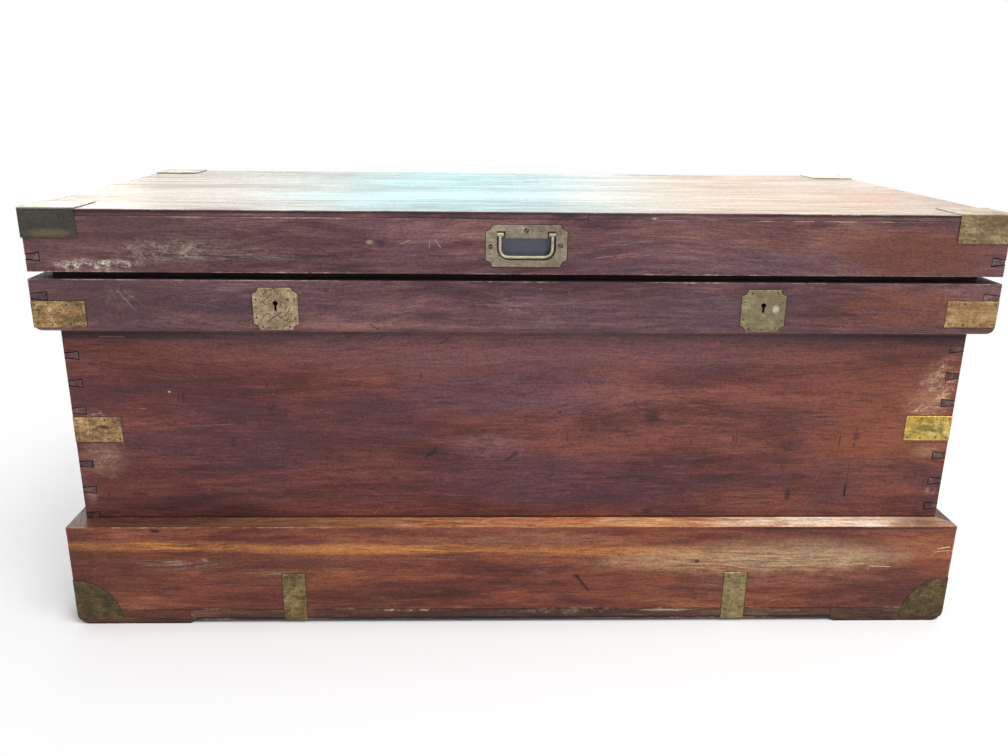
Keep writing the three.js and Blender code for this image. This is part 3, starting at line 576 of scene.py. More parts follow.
def lathe(mesh, profile, matrix, sides=20, start=0.0, end=2 * math.pi):
    """Turns a profile of radius and height about Z. A part turn is closed across its chord."""
    whole = end - start >= 2 * math.pi - 0.001
    count = sides if whole else sides + 1
    rings = []
    for radius, height in profile:
        angles = [start + (end - start) * index / sides for index in range(count)]
        points = [(radius * math.cos(t), radius * math.sin(t), height) for t in angles]
        rings.append([mesh.verts.new(matrix @ Vector(point)) for point in points])
    for lower, upper in zip(rings, rings[1:]):
        for index in range(count):
            following = (index + 1) % count
            mesh.faces.new((lower[index], lower[following], upper[following], upper[index]))
    mesh.faces.new(list(reversed(rings[0])))
    mesh.faces.new(rings[-1])


# Half outlines, each a radius and a height: screw heads in shares of the head's radius, the pin
# head's height in metres
SCREW_PROFILE = [(1.0, -0.5), (1.0, 0.02), (0.84, 0.09)]
SLOT_PROFILE = [(1.08, -0.5), (1.08, -0.03)]
SLOT_SHARE = 0.17
PIN_PROFILE = [(1.0, -0.0006), (1.0, 0.00005), (0.75, 0.00018), (0.35, 0.00026)]


def screws(name, body, places, radius):
    """Slotted countersunk heads. A place is a centre, the way it faces and its slot's turn."""
    heads, floors = bmesh.new(), bmesh.new()
    slot_half = math.asin(SLOT_SHARE)
    for centre, outward, turn in places:
        matrix = placed(centre, outward, turn)
        for start in (slot_half, math.pi + slot_half):
            profile = [(radius * out, radius * up) for out, up in SCREW_PROFILE]
            lathe(heads, profile, matrix, 12, start, start + math.pi - 2 * slot_half)
        profile = [(radius * out, radius * up) for out, up in SLOT_PROFILE]
        lathe(floors, profile, matrix, 24)
    add_piece(name, heads, SLOT_GRIME, body, "brass", smooth=False)
    add_piece(name + "_slots", floors, SLOT_GRIME, body, "brass", smooth=False)


def pins(name, body, slot, places):
    """Small domed pin heads. Each place is a centre and the direction it faces."""
    heads = bmesh.new()
    source = random.Random(name)
    for centre, outward in places:
        radius = PIN_RADIUS * source.uniform(0.8, 1.1)
        profile = [(radius * share, height) for share, height in PIN_PROFILE]
        lathe(heads, profile, placed(centre, outward), 10)
    add_piece(name, heads, PIN_BRASS, body, slot)


def on_face(node, face, spots):
    """Points on one outer face of a node's box, from shares of its width and height."""
    low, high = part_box(node)
    outward = OUTWARD[face]
    flat = 1 if face in FACES else 0
    wide = 1 - flat
    level = (low if outward[flat] < 0 else high)[flat]
    points = []
    for share_across, share_up in spots:
        point = Vector((0, 0, low.z + (high.z - low.z) * share_up))
        point[wide] = low[wide] + (high[wide] - low[wide]) * share_across
        point[flat] = level
        points.append((point, outward))
    return points


# The chest's woods
WALL_THICKNESS = 0.016
INNER_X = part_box("right_end_board")[1].x - WALL_THICKNESS
INNER_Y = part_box("back_board")[1].y - WALL_THICKNESS
LID_INNER_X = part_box("lid_right_skirt")[0].x
LID_INNER_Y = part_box("lid_back_skirt")[0].y
BEYOND = 1.0  # an edge past the chest, which bares nothing along that axis

TOP_MARKS = [
    Patch((455, -64), (60, 28), "cf8441", 0.8, "grain", 0.9, "top"),
    Patch((400, -50), (45, 14), "8f6049", 0.7, "lines", 0.9, "top"),
    Patch((300, 175), (50, 20), "cf9268", 0.6, "lines", 0.9, "top"),
    Patch((480, 80), (60, 40), "93776b", 0.6, "lines", 1.0, "top"),
    Patch((-480, 120), (50, 80), "b08d75", 0.5, "lines", 0.9, "top"),
    Patch((373, 125), (2, 12), "9a6f56", 0.6, "", 0.6, "top"),
]
LID_MARKS = [
    # Painted shade: dark lines just under the front edge of the lid's top.
    Stroke((-540, 499.2), (540, 499.2), 3.6, "21151b", 0.6),
    Stroke((250, 499), (540, 499), 3.6, "1c1218", 0.6),
    Stroke((-540, 498.8), (-220, 498.8), 4.6, "251820", 0.5),
    Patch((-420, 480), (170, 32), "402628", 0.6, "grain", 0.8),
    Patch((-360, 460), (100, 20), "97867c", 0.3, "lines"),
    Patch((-385, 458), (80, 18), "c4b6a2", 0.45, "scuffs"),
    Patch((-310, 452), (100, 9), "a9988c", 0.35, "lines"),
    Patch((-460, 441.5), (55, 8), "e6dcc8", 0.85, "scuffs"),
    Patch((330, 476), (180, 26), "845543", 0.55, "grain", 0.8),
    Patch((440, 460), (140, 45), "633422", 0.8, "grain", 0.8),
    Patch((160, 480), (100, 12), "7a5140", 0.35, "grain"),
    Patch((-165, 468), (6, 3), "a89479", 0.6, "", 0.6),
    Patch((-152, 466), (8, 4), "2c1c22", 0.6, "", 0.8),
    Stroke((-89, 493.7), (70, 493.5), 1, "21141a", 0.9),
    Stroke((69.5, 493.5), (71.5, 501.2), 1.6, "1c1218", 0.95),
    Patch((48, 497.5), (22, 4), "231a1e", 0.75, "", 0.6),
    Patch((125, 497.2), (60, 3.4), "2b1f24", 0.55),
    Patch((142, 495), (4, 2), "a09c98", 0.7, "", 0.8),
    Stroke((-500, 494.1), (-90, 493.6), 0.9, "a99a90", 0.5, "lines"),
    Stroke((72, 493.6), (460, 493), 1, "b59c88", 0.8, "lines"),
    Stroke((-94, 470), (-88, 462), 0.9, "c0aa98", 0.6),
    Stroke((-100, 469), (-101, 462), 0.8, "c0aa98", 0.5),
    Stroke((-132, 466), (-122, 470), 1.2, "b3906f", 0.6),
    Stroke((80, 452), (125, 458), 0.9, "a98474", 0.5),
]
BAND_MARKS = [
    # A pale line along the band's lower edge: wear, and a painted highlight on its rounded edge.
    Stroke((-540, 366.8), (540, 366.8), 3, "a48f92", 0.65),
    Stroke((400, 366.8), (470, 366.8), 2.4, "ecdcc8", 0.95, "scuffs"),
    Stroke((-500, 424.8), (-200, 424.8), 1, "a99692", 0.45, "grain"),
    Patch((-450, 400), (170, 40), "40282a", 0.55, "grain", 0.7),
    Patch((-440, 405), (26, 18), "b09a85", 0.22, "scuffs"),
    Stroke((-440, 412), (-424, 391), 1.3, "a08c7c", 0.45),
    Stroke((-434, 413), (-415, 397), 1, "a08c7c", 0.35),
    Patch((-330, 394), (80, 10), "2f2230", 0.5, "grain", 0.8),
    Patch((-80, 384), (160, 10), "33222b", 0.4, "grain", 0.8),
    Patch((430, 395), (160, 34), "6c3a25", 0.8, "grain", 0.7),
    Stroke((-168, 376), (-158, 370), 1.8, "1f1216", 0.8),
    Stroke((-158, 370.5), (-110, 368.5), 1.2, "26161a", 0.6),
]
BODY_MARKS = [
    # Painted shadow of the band across the top of the body, deepest towards the ends.
    Stroke((-540, 357), (540, 357.5), 15, "2c1c24", 0.45),
    Stroke((-540, 357), (-360, 358), 11, "1f141b", 0.55),
    Stroke((360, 358), (540, 357), 9, "1f141b", 0.4),
    Stroke((-540, 359.2), (540, 359.2), 4, "1a1016", 0.7),
    # Painted shade where the body meets the plinth's ledge.
    Stroke((-540, 130.5), (540, 130.5), 4.4, "1c1216", 0.65),
    # The next three patches are painted light: a paler purple-grey across the top lifts the shade
    # under the band, and two purple-grey patches in the middle are painted sheen.
    Patch((20, 345), (560, 40), "8c6466", 0.34, "", 0.5),
    Patch((20, 285), (220, 40), "72505a", 0.4, "grain", 0.8),
    Patch((40, 180), (240, 45), "5c3e47", 0.4, "grain"),
    Patch((110, 160), (100, 18), "3c2530", 0.45),
    Patch((-430, 290), (150, 40), "431f20", 0.45, "grain", 0.8),
    Patch((-240, 272), (180, 12), "3d2633", 0.5, "grain"),
    Patch((-460, 170), (120, 50), "4e2321", 0.4, "grain", 0.8),
    Patch((440, 250), (140, 120), "80462c", 0.65, "grain", 0.8),
    Patch((140, 290), (120, 20), "8a5245", 0.5, "grain"),
    Patch((300, 335), (140, 20), "844c3a", 0.45, "grain"),
    Patch((260, 225), (120, 18), "86503f", 0.4, "grain", 1.0),
    Patch((280, 158), (100, 30), "905138", 0.5, "grain"),
    Patch((200, 262), (150, 45), "8e5446", 0.35, "grain"),
    Patch((-35, 222), (70, 22), "946a6a", 0.45, "grain"),
    Patch((-491, 262), (16, 8), "a3907f", 0.7, "scuffs", 1.0),
    Patch((-345, 266), (85, 20), "4f3440", 0.45, "grain"),
    Patch((-350, 190), (70, 12), "4a3038", 0.4, "grain"),
    Patch((-345, 204), (18, 10), "7e4338", 0.5, "grain", 1.0),
    Patch((-488, 208), (36, 30), "7d5a4c", 0.6),
    Patch((-488, 206), (36, 32), "b3947f", 0.4, "scuffs", 1.0),
    Patch((-507.5, 160), (10, 18), "8a6656", 0.6),
    Stroke((-512, 165.5), (-504, 165.5), 1.8, "b09a88", 0.6),
    Stroke((-464.6, 227.5), (-462.2, 220.5), 0.9, "a07a60", 0.6),
    Patch((-451.5, 161), (12, 3.5), "2e181a", 0.6),
    Patch((-487, 160), (4, 4), "30191c", 0.5, "", 0.8),
    Patch((-403.5, 289.8), (2.2, 1.8), "d0aea6", 0.85, "", 0.4),
    Stroke((-440, 269), (-432, 269), 1.2, "a8887e", 0.6),
    Stroke((-475, 355.5), (-447, 355), 1.2, "9a7a70", 0.5),
    Patch((-334.6, 226.7), (6, 7.5), "40262e", 0.65, "", 0.8),
    Patch((-322, 224.5), (5, 6), "3c242c", 0.6, "", 0.8),
    Patch((-307.1, 228.9), (10, 5), "44293a", 0.5),
    Patch((-146, 181.5), (8, 4.5), "2e1c28", 0.65, "", 0.8),
    Patch((488, 296), (26, 36), "96735b", 0.3, "", 1.0),
    Patch((490, 292), (28, 40), "c9a98a", 0.45, "scuffs", 1.0),
    Patch((478, 279), (36, 22), "96684f", 0.45, "", 1.0),
    Patch((503, 305), (16, 42), "d8a88c", 0.5, "scuffs", 1.0),
    Patch((480, 266), (22, 8), "bfa68e", 0.5, "lines", 1.0),
    Stroke((470.5, 266.5), (480, 276.5), 1.5, "c9ab92", 0.6),
    Stroke((478, 268.5), (488.5, 274.5), 1.5, "bfa08a", 0.55),
    Stroke((462, 275.5), (470, 283), 1.1, "b8937a", 0.5),
    Patch((493, 217), (22, 12), "90674f", 0.65, "", 1.0),
    Patch((497, 220.5), (14, 5), "b89c86", 0.45, "scuffs", 1.0),
    Patch((505.5, 166), (10, 9), "a08574", 0.6, "scuffs", 1.0),
    Patch((415.7, 330), (13, 8), "55302f", 0.5),
    Patch((324.5, 224), (14, 11), "482a30", 0.6),
    Patch((405, 236), (6.5, 12), "38232c", 0.55),
    Patch((159.1, 258.8), (11.5, 12.5), "371e25", 0.75),
    Patch((159.7, 138.5), (10, 4), "2c1a22", 0.6, "", 0.8),
    Patch((330.5, 160), (5.2, 12), "2a1824", 0.7),
    Stroke((-108.5, 209), (-97.5, 217), 5.4, "291822", 0.8),
    Stroke((-101, 216), (-96.5, 221.5), 3.2, "291822", 0.65),
    Stroke((-13.5, 205), (-1, 213.5), 5.6, "2c1b27", 0.7),
    Stroke((400.3, 158), (400.3, 172), 3.6, "120c10", 0.95),
    Stroke((-415, 246), (-330, 250), 1.2, "8f5a48", 0.5),
]
# Short upright dents: place across and up, height and width
DENTS = [
    (-388.2, 282.5, 12, 2.6), (-393.5, 284.5, 7, 2.2), (-400, 252, 2, 3.4), (-385.5, 222, 5, 2.2),
    (-290.5, 297.6, 4, 4.6), (-281.5, 298.5, 2, 4), (-113.1, 309.6, 7, 2), (-115.8, 304, 4, 1.8),
    (-174.8, 158.6, 6, 2), (-320.2, 164.6, 4, 2.4), (49.4, 265.8, 2, 3.6), (59.4, 233, 9, 1.8),
    (137.3, 277.2, 6, 2.2), (206.9, 227.2, 7, 2), (210.2, 184.1, 3, 2.8), (257.5, 233, 10, 1.4),
    (261.7, 235.8, 18, 1.6), (319.5, 197.2, 8, 1.8), (322.2, 200.5, 5, 1.6), (386, 230.5, 12, 2.8),
    (401.2, 190, 30, 1.3), (404, 225, 2, 3.2), (404, 244, 3, 2.4), (417.5, 279, 4, 2.6),
    (435.7, 236, 7, 1.6),
]
BODY_MARKS += [
    Stroke((x, z - high / 2), (x, z + high / 2), wide, "2b181e", 0.6) for x, z, high, wide in DENTS
]
PLINTH_MARKS = [
    # Painted shade: a dark line just under the plinth's upper front edge, towards the right.
    Stroke((300, 127.2), (530, 127.2), 2.4, "1e1210", 0.65),
    Patch((155, -240), (75, 20), "eab884", 0.65, "grain", 0.8, "top"),
    Patch((-440, 105), (200, 9.5), "b9793c", 0.85, "grain", 0.7),
    Patch((-160, 100.5), (260, 9), "bb7b3e", 0.8, "grain", 0.7),
    Patch((140, 97.5), (280, 9), "b4753c", 0.75, "grain", 0.8),
    Patch((-300, 80), (320, 11), "4f2722", 0.55, "grain"),
    Patch((-500, 70), (80, 70), "45241c", 0.55, "grain", 0.8),
    Patch((-330, 45), (120, 6), "7a3f29", 0.5, "grain"),
    Patch((-160, 62), (140, 8), "8c5032", 0.45, "grain"),
    Patch((20, 112), (220, 10), "96654d", 0.4, "grain", 0.8),
    Patch((270, 83), (240, 24), "b28b66", 0.85, "grain", 0.8),
    Patch((330, 94), (200, 28), "a68767", 0.4),
    Patch((360, 88), (150, 22), "b39a78", 0.5, "grain"),
    Patch((340, 58), (180, 14), "92604a", 0.5, "grain"),
    Patch((-410, 80), (75, 10), "ab9583", 0.5, "lines", 1.0),
    Patch((-300, 70), (50, 6), "a58d79", 0.4, "lines", 1.0),
    Patch((-373, 85), (6, 5), "a8957f", 0.7, "scuffs", 1.0),
    Patch((-428, 125), (10, 4), "22130f", 0.85, "", 0.6),
    Patch((219.4, 83.6), (4.8, 3.5), "3a2214", 0.8, "", 0.5),
    Patch((73, 64), (6, 4), "23120f", 0.75, "", 0.7),
    Stroke((73.5, 64), (88.4, 44.3), 4.5, "2b1712", 0.8),
    Stroke((432.5, 76.5), (457.6, 75.2), 1.1, "e2cfae", 0.9),
    Stroke((432.5, 76.5), (430, 71), 0.8, "e2cfae", 0.6),
    Stroke((408, 80), (424, 79.5), 0.7, "d8c2a2", 0.6),
    Stroke((512.5, 99.5), (527, 102), 1.3, "e0cba8", 0.9),
    Stroke((508.5, 95), (527, 97), 0.9, "d8c2a2", 0.8),
    Stroke((-4, 47), (10, 50), 1, "1f110e", 0.8),
    Stroke((80, 118), (100, 122), 1, "d2bfa6", 0.5, "scuffs"),
]
STRIP_MARKS = [
    # Painted shadow: a dark line along the strip's lower edge, at the floor.
    Stroke((-420, STRIP_BOTTOM + 1), (420, STRIP_BOTTOM + 1), 6.4, "17100f", 0.9),
    Patch((-130, 17.8), (55, 3), "e6dcc6", 0.95, "scuffs"),
    Patch((190, 16), (60, 2), "d8ccb4", 0.75, "lines", 1.0),
    Patch((50, 15), (100, 5), "8d8274", 0.45, "scuffs", 1.0),
    Patch((330, 15), (30, 1.6), "d8ccb4", 0.7, "lines", 1.0),
]
FOOT_MARKS = [
    # Painted shadow: a dark line along the feet's lower edge, at the floor.
    Stroke((-540, 0.6), (540, 0.6), 4.4, "17100f", 0.7),
    Patch((388, 9.5), (2.6, 2.6), "f0e8d6", 0.95, "", 0.3),
    Patch((-393, 14), (4, 6), "c2b49c", 0.8, "scuffs", 0.8),
]
FRONT_MARKS = {
    "lid": LID_MARKS, "band": BAND_MARKS, "body": BODY_MARKS, "plinth": PLINTH_MARKS,
    "foot": FOOT_MARKS,
}

dress_wood(
    "lid_top", LID_LOOK, marks=LID_MARKS + TOP_MARKS, top=worn_pale_and_shine_top,
    inside=bare_below(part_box("lid_top")[0].z),
)
dress_wood("front_plinth_strip", STRIP_LOOK, name="strip_wood", marks=STRIP_MARKS)
dress_wood("bottom_board", INSIDE_LOOK, name="bottom_wood")
dress_wood("lid_lock_rail", INSIDE_LOOK, name="rail_wood")
for face in FACES:
    marks = FRONT_MARKS if face == "front" else {}
    dress_wood(
        f"lid_{face}_skirt", LID_LOOK, marks=marks.get("lid", ()),
        inside=bare_inside(BEYOND, LID_INNER_Y),
    )
    dress_wood(
        f"{face}_board", BODY_LOOK, marks=marks.get("body", ()), top=shaded_gap_top,
        inside=bare_inside(BEYOND, INNER_Y),
    )
    dress_wood(f"{face}_band", LID_LOOK, marks=marks.get("band", ()), top=shaded_gap_top)
    dress_wood(f"{face}_plinth", PLINTH_LOOK, marks=marks.get("plinth", ()), top=lit_and_shaded_ledge_top)
    for side in SIDES:
        dress_wood(f"{face}_{side}_foot", FOOT_LOOK, marks=marks.get("foot", ()))
for side in SIDES:
    dress_wood(
        f"{side}_end_board", BODY_LOOK, "Y", inside=bare_inside(INNER_X, BEYOND), top=shaded_gap_top)
    dress_wood(f"lid_{side}_skirt", LID_LOOK, "Y", inside=bare_inside(LID_INNER_X, BEYOND))
    dress_wood(f"{side}_end_band", LID_LOOK, "Y", top=shaded_gap_top)
    dress_wood(f"{side}_end_plinth", PLINTH_LOOK, "Y", top=lit_and_shaded_ledge_top)


# Dark hand-cut lines where two boards meet in one face
OFF_FACE = 0.00005
AT_BOUND = 0.0003
SEAM_WIDTH, SEAM_STEP, SEAM_SHORTEST = 0.0009, 0.004, 0.0005
SEAM_PROUD, SEAM_SUNK = 0.00006, 0.0003


def seam_edges(node, face, group):
    """Edges of a board's outward face that lie inside the face of the whole group of boards."""
    solid = bmesh.new()
    solid.from_mesh(frame["nodes"][node].data)
    bmesh.ops.remove_doubles(solid, verts=solid.verts, dist=SAME_POINT)
    bmesh.ops.dissolve_limit(
        solid, angle_limit=math.radians(0.5), verts=solid.verts, edges=solid.edges)
    outward = OUTWARD[face]
    flat = 1 if face in FACES else 0
    wide = 1 - flat
    boxes = [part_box(name) for name in group]
    low = [min(box[0][axis] for box in boxes) for axis in range(3)]
    high = [max(box[1][axis] for box in boxes) for axis in range(3)]
    level = (low if outward[flat] < 0 else high)[flat]
    found = []
    for edge in solid.edges:
        first, second = (vertex.co.copy() for vertex in edge.verts)
        if max(abs(first[flat] - level), abs(second[flat] - level)) > OFF_FACE:
            continue
        if sum(part.normal.dot(outward) > 0.99 for part in edge.link_faces) != 1:
            continue
        outer = any(
            min(abs(first[axis] - bound[axis]), abs(second[axis] - bound[axis])) < AT_BOUND
            and abs(first[axis] - second[axis]) < AT_BOUND
            for axis in (wide, 2) for bound in (low, high)
        )
        if not outer:
            found.append((first, second, outward))
    solid.free()
    return found


def seams(name, body, slot, edges):
    """Thin closed strips of uneven width along the edges given, let into the wood."""
    source = random.Random(name)
    strips = bmesh.new()
    for first, second, outward in edges:
        run = second - first
        if run.length < SEAM_SHORTEST:
            continue
        aside = run.normalized().cross(outward)
        count = max(1, round(run.length / SEAM_STEP))
        rings = []
        for index in range(count + 1):
            centre = first.lerp(second, index / count)
            half = aside * SEAM_WIDTH / 2 * source.uniform(0.35, 1.45)
            sunk, proud = outward * SEAM_SUNK, outward * SEAM_PROUD
            corners = (
                centre - half - sunk, centre + half - sunk,
                centre + half + proud, centre - half + proud,
            )
            rings.append([strips.verts.new(corner) for corner in corners])
        for before, after in zip(rings, rings[1:]):
            for place in range(4):
                following = (place + 1) % 4
                strips.faces.new(
                    (before[place], before[following], after[following], after[place]))
        strips.faces.new(list(reversed(rings[0])))
        strips.faces.new(rings[-1])
    add_piece(name, strips, SEAM_DARK, body, slot, smooth=False)


SEAM_DARK = wood("seam_dark", BODY_LOOK._replace(
    tones="0f0a0b 1a1011 241617 3a2523", cloudy=0.2, hazy=0.0, wear=0.0,
), CAD_BOX)
WALLS = ("front_{}", "back_{}", "left_end_{}", "right_end_{}")
JOINED = {
    "body": ("chest", "body_wood", [wall.format("board") for wall in WALLS]),
    "band": ("chest", "body_wood", [wall.format("band") for wall in WALLS]),
    "plinth": ("chest", "plinth_wood", [wall.format("plinth") for wall in WALLS]),
    "lid": ("lid", "lid_wood", [f"lid_{face}_skirt" for face in OUTWARD]),
}
for group, (body, slot, nodes) in JOINED.items():
    found = [edge for node in nodes for face in OUTWARD for edge in seam_edges(node, face, nodes)]
    seams(f"{group}_seams", body, slot, found)

# The brass. Spots are shares of a face's width and height.
STRAP_SPOTS = [
    (0.08, 0.14), (0.36, 0.10), (0.70, 0.14), (0.93, 0.12),
    (0.07, 0.86), (0.33, 0.90), (0.66, 0.87), (0.94, 0.88),
]
CAP_SPOTS = [(0.10, 0.10), (0.38, 0.07), (0.68, 0.08), (0.93, 0.10), (0.94, 0.62)]
CAP_TOP_SPOTS = [
    (0.12, 0.12), (0.5, 0.1), (0.88, 0.12), (0.1, 0.5), (0.9, 0.5), (0.12, 0.88), (0.5, 0.9),
    (0.88, 0.88),
]
PLINTH_STRAP_SPOTS = [
    (0.2, 0.2), (0.8, 0.24), (0.25, 0.6), (0.78, 0.62), (0.2, 0.93), (0.8, 0.92),
]
ESCUTCHEON_SPOTS = [
    (0.20, 0.08), (0.50, 0.06), (0.80, 0.08), (0.07, 0.30), (0.93, 0.28), (0.08, 0.72),
    (0.92, 0.72), (0.22, 0.92), (0.80, 0.93),
]
END_PLATE_SPOTS = [(0.06, 0.5), (0.94, 0.5), (0.5, 0.93), (0.5, 0.07)]
PIN_BRASS = brass("pin_brass", DARK_LOOK)
SLOT_GRIME = brass("slot_grime", SLATE_LOOK)
CAP_TOP_DEPTH = 0.0016
STRAP_STAINS = [
    Patch((-484, 246.5), (10, 3.2), "3a352a", 0.8, "", 0.8),
    Patch((487, 247), (18, 6.2), "7a7248", 0.65),
    Patch((499, 243), (14, 5), "5d5432", 0.6, "", 1.0),
]
CAP_STAINS = [Patch((-505, 475.5), (30, 6), "77674c", 0.6)]
ESCUTCHEON_BLOT = [Patch((284.7, 395.6), (5, 6.2), "c4bfae", 0.85, "", 0.7)]
# Scratches on the left escutcheon: shares across and down its face
SCRATCHES = [
    ((0.255, 0.137), (0.324, 0.074), (0.417, 0.042), (0.5, 0.032), (0.509, 0.095)),
    ((0.231, 0.337), (0.343, 0.221)),
    ((0.176, 0.326), (0.231, 0.347), (0.292, 0.4)),
    ((0.306, 0.326), (0.361, 0.295), (0.426, 0.295)),
    ((0.611, 0.316), (0.657, 0.347), (0.741, 0.368)),
    ((0.231, 0.653), (0.287, 0.611), (0.361, 0.6), (0.384, 0.653), (0.352, 0.726)),
    ((0.324, 0.811), (0.435, 0.695), (0.546, 0.632), (0.63, 0.558)),
    ((0.56, 0.65), (0.63, 0.705), (0.685, 0.758), (0.75, 0.758), (0.806, 0.695)),
    ((0.694, 0.674), (0.778, 0.558), (0.843, 0.421)),
    ((0.713, 0.516), (0.75, 0.442)),
    ((0.713, 0.863), (0.824, 0.779)),
    ((0.769, 0.242), (0.79, 0.326)),
    ((0.083, 0.432), (0.093, 0.495)),
]


def scratches(plate):
    """The scratches as strokes on a plate."""
    low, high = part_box(plate)
    found = []
    for path in SCRATCHES:
        points = [
            ((low.x + (high.x - low.x) * across) / MM, (high.z - (high.z - low.z) * down) / MM)
            for across, down in path
        ]
        found += [Stroke(*ends, 1.3, SCRATCH_TONE, 0.75) for ends in zip(points, points[1:])]
    return found


for face, side in CORNERS:
    corner = f"{face}_{side}"
    strap = f"{corner}_band_strap"
    ends = [point for point, _ in on_face(strap, side, STRAP_SPOTS)]
    look = GOLD_LOOK._replace(contrast=0.65, smudged=0.35) if side == "right" else GOLD_LOOK
    dress_brass(strap, look, rivets=ends)
    pins(f"{strap}_pins", "chest", "brass", on_face(strap, face, STRAP_SPOTS))

    strap = f"{corner}_body_strap"
    stains = STRAP_STAINS if face == "front" else ()
    dress_brass(strap, BRIGHT_LOOK if side == "right" else GOLD_LOOK, marks=stains)
    faces_pinned = on_face(strap, face, STRAP_SPOTS) + on_face(strap, side, STRAP_SPOTS)
    pins(f"{strap}_pins", "chest", "brass", faces_pinned)

    dress_brass(f"{corner}_plinth_corner", DARK_LOOK)

    cap = f"lid_{corner}_corner"
    low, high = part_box(cap)
    top_spots = [
        Vector((low.x + (high.x - low.x) * u, low.y + (high.y - low.y) * v, high.z))
        for u, v in CAP_TOP_SPOTS
    ]
    dress_brass(
        cap, BROWN_LOOK if side == "right" else SLATE_LOOK, rivets=top_spots,
        pale_from=high.z - CAP_TOP_DEPTH, marks=CAP_STAINS if corner == "front_left" else (),
    )
    mirrored = [(1 - across, up) for across, up in CAP_SPOTS]
    spots = CAP_SPOTS if side == "left" else mirrored
    faces_pinned = on_face(cap, face, spots) + on_face(cap, side, CAP_SPOTS)
    pins(f"{cap}_pins", "lid", "dark_brass", faces_pinned)

for side in SIDES:
    strap = f"{side}_plinth_strap"
    rivets = [point for point, _ in on_face(strap, "front", PLINTH_STRAP_SPOTS)]
    dress_brass(strap, OLIVE_LOOK if side == "left" else PALE_LOOK, rivets=rivets)
    plate = f"{side}_escutcheon"
    if side == "left":
        dress_brass(plate, ESCUTCHEON_LOOK, squiggles=0.6, marks=scratches(plate))
    else:
        dress_brass(plate, GREYED_LOOK, marks=ESCUTCHEON_BLOT)
    pins(f"{plate}_pins", "chest", "brass", on_face(plate, "front", ESCUTCHEON_SPOTS))
    dress_brass(f"{side}_lock_case", LOCK_LOOK)
    dress_brass(f"{side}_link_plate", LOCK_LOOK)
    dress_brass(f"{side}_lock_bolt", STEEL_LOOK, f"{side}_lock_bolt_steel")
    for leaf in ("lower", "upper"):
        dress_brass(f"{side}_hinge_{leaf}_leaf", GOLD_LOOK, f"{side}_hinge_{leaf}_brass")

CUP_START, CUP_REACH = 0.0012, 0.0022
LID_SCREW_RADIUS, END_SCREW_RADIUS, SCREW_TURN = 0.0027, 0.0036, 0.8
plate_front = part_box("lid_handle_plate")[0].y
# The lid handle's hollow takes painted shade in a blue-grey.
lid_cup = (1, plate_front + CUP_START, CUP_REACH, "585b6f")
dress_brass("lid_handle_plate", BRONZE_LOOK, "lid_handle_brass", cup=lid_cup)
dress_brass("lid_handle_bail", BAIL_LOOK, "lid_bail_brass")
screws("lid_handle_screws", "lid", [
    (Vector((x, plate_front, z)), OUTWARD["front"], turn)
    for x, z, turn in ((0.0041, 0.4816, 0.9), (-0.0344, 0.4639, 0.3), (0.0416, 0.4652, 1.2))
], LID_SCREW_RADIUS)
for side, sign in SIDES.items():
    plate = f"{side}_end_handle_plate"
    low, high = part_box(plate)
    start = (low.x if sign < 0 else high.x) - sign * CUP_START
    dress_brass(plate, BRONZE_LOOK, cup=(0, start, -sign * CUP_REACH, "4e483e"))
    dress_brass(f"{side}_end_handle_bail", BAIL_LOOK, f"{side}_end_bail_brass")
    places = [
        (point, outward, index * SCREW_TURN)
        for index, (point, outward) in enumerate(on_face(plate, side, END_PLATE_SPOTS))
    ]
    screws(f"{side}_end_handle_screws", "chest", places, END_SCREW_RADIUS)

# Softened edges: of boards more than of metal, and none on the round bails
BOARD_EDGE, METAL_EDGE = 0.0011, 0.0003
BOARDS = ("board", "band", "plinth", "strip", "foot", "skirt", "top", "rail")
for node in frame["nodes"]:
    if node.endswith(BOARDS):
        soften(node, BOARD_EDGE)
    elif not node.endswith("bail"):
        soften(node, METAL_EDGE, segments=1)


# Floor, backdrop and light
WHITE = (1.0, 1.0, 1.0, 1.0)
FLOOR_COLOUR = (0.94, 0.94, 0.94, 1.0)
FLOOR_REACH = 14.0
FILL_STRENGTH = 0.6


def seen(shader):
    """1 for rays from the camera and for those by which gloss and glass show the background."""
    rays = shader.add("LightPath").outputs
    either = shader.math("MAXIMUM", rays["Is Camera Ray"], rays["Is Glossy Ray"])
    return shader.math("MAXIMUM", either, rays["Is Transmission Ray"])


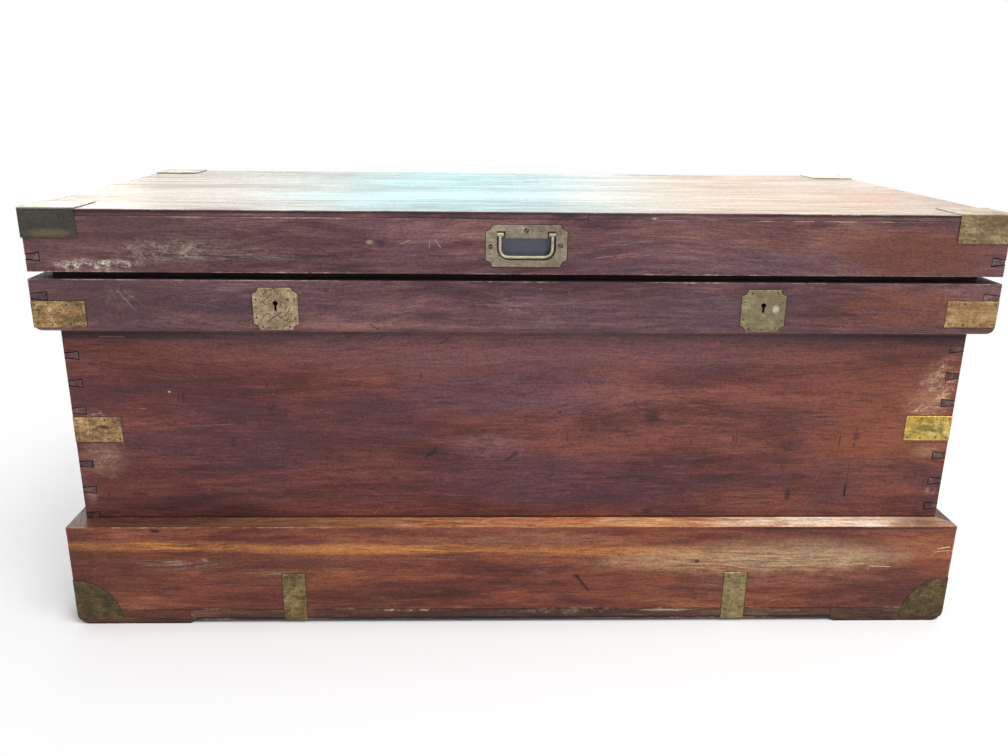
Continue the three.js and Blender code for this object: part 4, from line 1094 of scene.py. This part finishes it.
def floor():
    """A pale floor that turns white away from the chest, and keeps the chest's shadow."""
    shader = Shader(bpy.data.materials.new("floor_white"))
    x, y, _ = shader.split(shader.add("TexCoord").outputs["Object"])
    outside = [
        shader.math("MAXIMUM", shader.math("SUBTRACT", shader.math("ABSOLUTE", value), half), 0.0)
        for value, half in ((x, CAD_BOX[1][0]), (y, CAD_BOX[1][1]))
    ]
    away = shader.vector("LENGTH", shader.combine(*outside, 0.0))
    glow = shader.total(
        shader.step(away, 0.0, 0.035, 0.0, 0.38), shader.step(away, 0.02, 0.5, 0.0, 0.62))
    far = shader.times(glow, seen(shader))
    matte = shader.add("BsdfDiffuse", {"Color": FLOOR_COLOUR})
    white = shader.add("Emission", {"Color": WHITE, "Strength": 1.0})
    mixed = shader.add("MixShader", {0: far, 1: matte.outputs[0], 2: white.outputs[0]})
    shader.add("OutputMaterial", {"Surface": mixed.outputs[0]})
    mesh = bmesh.new()
    mesh.faces.new([
        mesh.verts.new((across * FLOOR_REACH, back * FLOOR_REACH, 0))
        for across, back in ((-1, -1), (1, -1), (1, 1), (-1, 1))
    ])
    data = bpy.data.meshes.new("floor")
    mesh.to_mesh(data)
    mesh.free()
    data.materials.append(shader.owner)
    made = bpy.data.objects.new("floor", data)
    bpy.context.scene.collection.objects.link(made)
    made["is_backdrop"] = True


def world():
    """White where it is seen, and a dimmer fill light on everything."""
    studio = bpy.data.worlds.new("studio")
    bpy.context.scene.world = studio
    shader = Shader(studio)
    strength = shader.add("MapRange", {0: seen(shader), 3: FILL_STRENGTH, 4: 1.0}).outputs[0]
    background = shader.add("Background", {"Color": WHITE, "Strength": strength})
    shader.add("OutputWorld", {"Surface": background.outputs[0]})


def softbox(name, place, target, width, height, power, colour=WHITE[:3], lights="all"):
    """A soft studio lamp. One that lights gloss only gives the lid's shine at a low angle."""
    data = bpy.data.lights.new(name, "AREA")
    data.shape = "RECTANGLE"
    data.size, data.size_y = width, height
    data.energy = power
    data.color = colour
    made = bpy.data.objects.new(name, data)
    bpy.context.scene.collection.objects.link(made)
    made.location = place
    made.rotation_euler = (Vector(target) - Vector(place)).to_track_quat("-Z", "Y").to_euler()
    made.visible_diffuse = lights != "gloss"
    made.visible_glossy = lights != "colour"


def camera():
    """Stands where the photograph was taken, fitted to the chest's corners in it."""
    place = Vector((-0.0548, -1.2194, 0.6202))
    turn, tilt, roll = -0.0268, 0.3051, 0.0108
    focal_pixels, width_pixels, centre_pixel = 898.0, 1008.0, 494.4
    level_ahead = Vector((-math.sin(turn), math.cos(turn), 0.0))
    ahead = level_ahead * math.cos(tilt) - Vector((0.0, 0.0, math.sin(tilt)))
    right = Vector((math.cos(turn), math.sin(turn), 0.0))
    up = right.cross(ahead)
    rolled_right = right * math.cos(roll) + up * math.sin(roll)
    rolled_up = up * math.cos(roll) - right * math.sin(roll)
    data = bpy.data.cameras.new("photo_view")
    data.sensor_width = 36.0
    data.lens = focal_pixels / width_pixels * data.sensor_width
    data.shift_x = (width_pixels / 2 - centre_pixel) / width_pixels
    made = bpy.data.objects.new("photo_view", data)
    bpy.context.scene.collection.objects.link(made)
    axes = Matrix((rolled_right, rolled_up, -ahead)).transposed()
    made.matrix_world = Matrix.Translation(place) @ axes.to_4x4()
    bpy.context.scene.camera = made


floor()
world()
SHINE_PLACE, SHINE_HEIGHT = (2.6, 1.1), 0.9
WARM, CYAN, AMBER = (1.0, 0.91, 0.82), (0.295, 0.915, 1.0), (1.0, 0.90, 0.78)
softbox("key", (1.1, -1.5, 2.5), (0.0, -0.2, 0.2), 1.6, 1.2, 56.0)
softbox("overhead", (0.2, 0.3, 2.6), (0.0, 0.0, 0.3), 2.2, 1.4, 12.0)
softbox("back_rim", (0.0, *SHINE_PLACE), (0.0, 0.0, 0.5), 3.0, SHINE_HEIGHT, 18.0, lights="colour")
for name, x, width, power, colour in (
    ("left", -1.30, 1.1, 45.0, WARM), ("middle", -0.20, 1.1, 67.0, CYAN),
    ("right", 1.15, 1.6, 21.0, AMBER),
):
    softbox(
        f"back_shine_{name}", (x, *SHINE_PLACE), (x, 0.0, 0.5), width, SHINE_HEIGHT, power,
        colour, "gloss",
    )
camera()
bpy.context.scene.view_settings.view_transform = "Standard"

boxes = {"cad": CAD_BOX, "visual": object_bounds()}
{name: [list(corner) for corner in box] for name, box in boxes.items()}
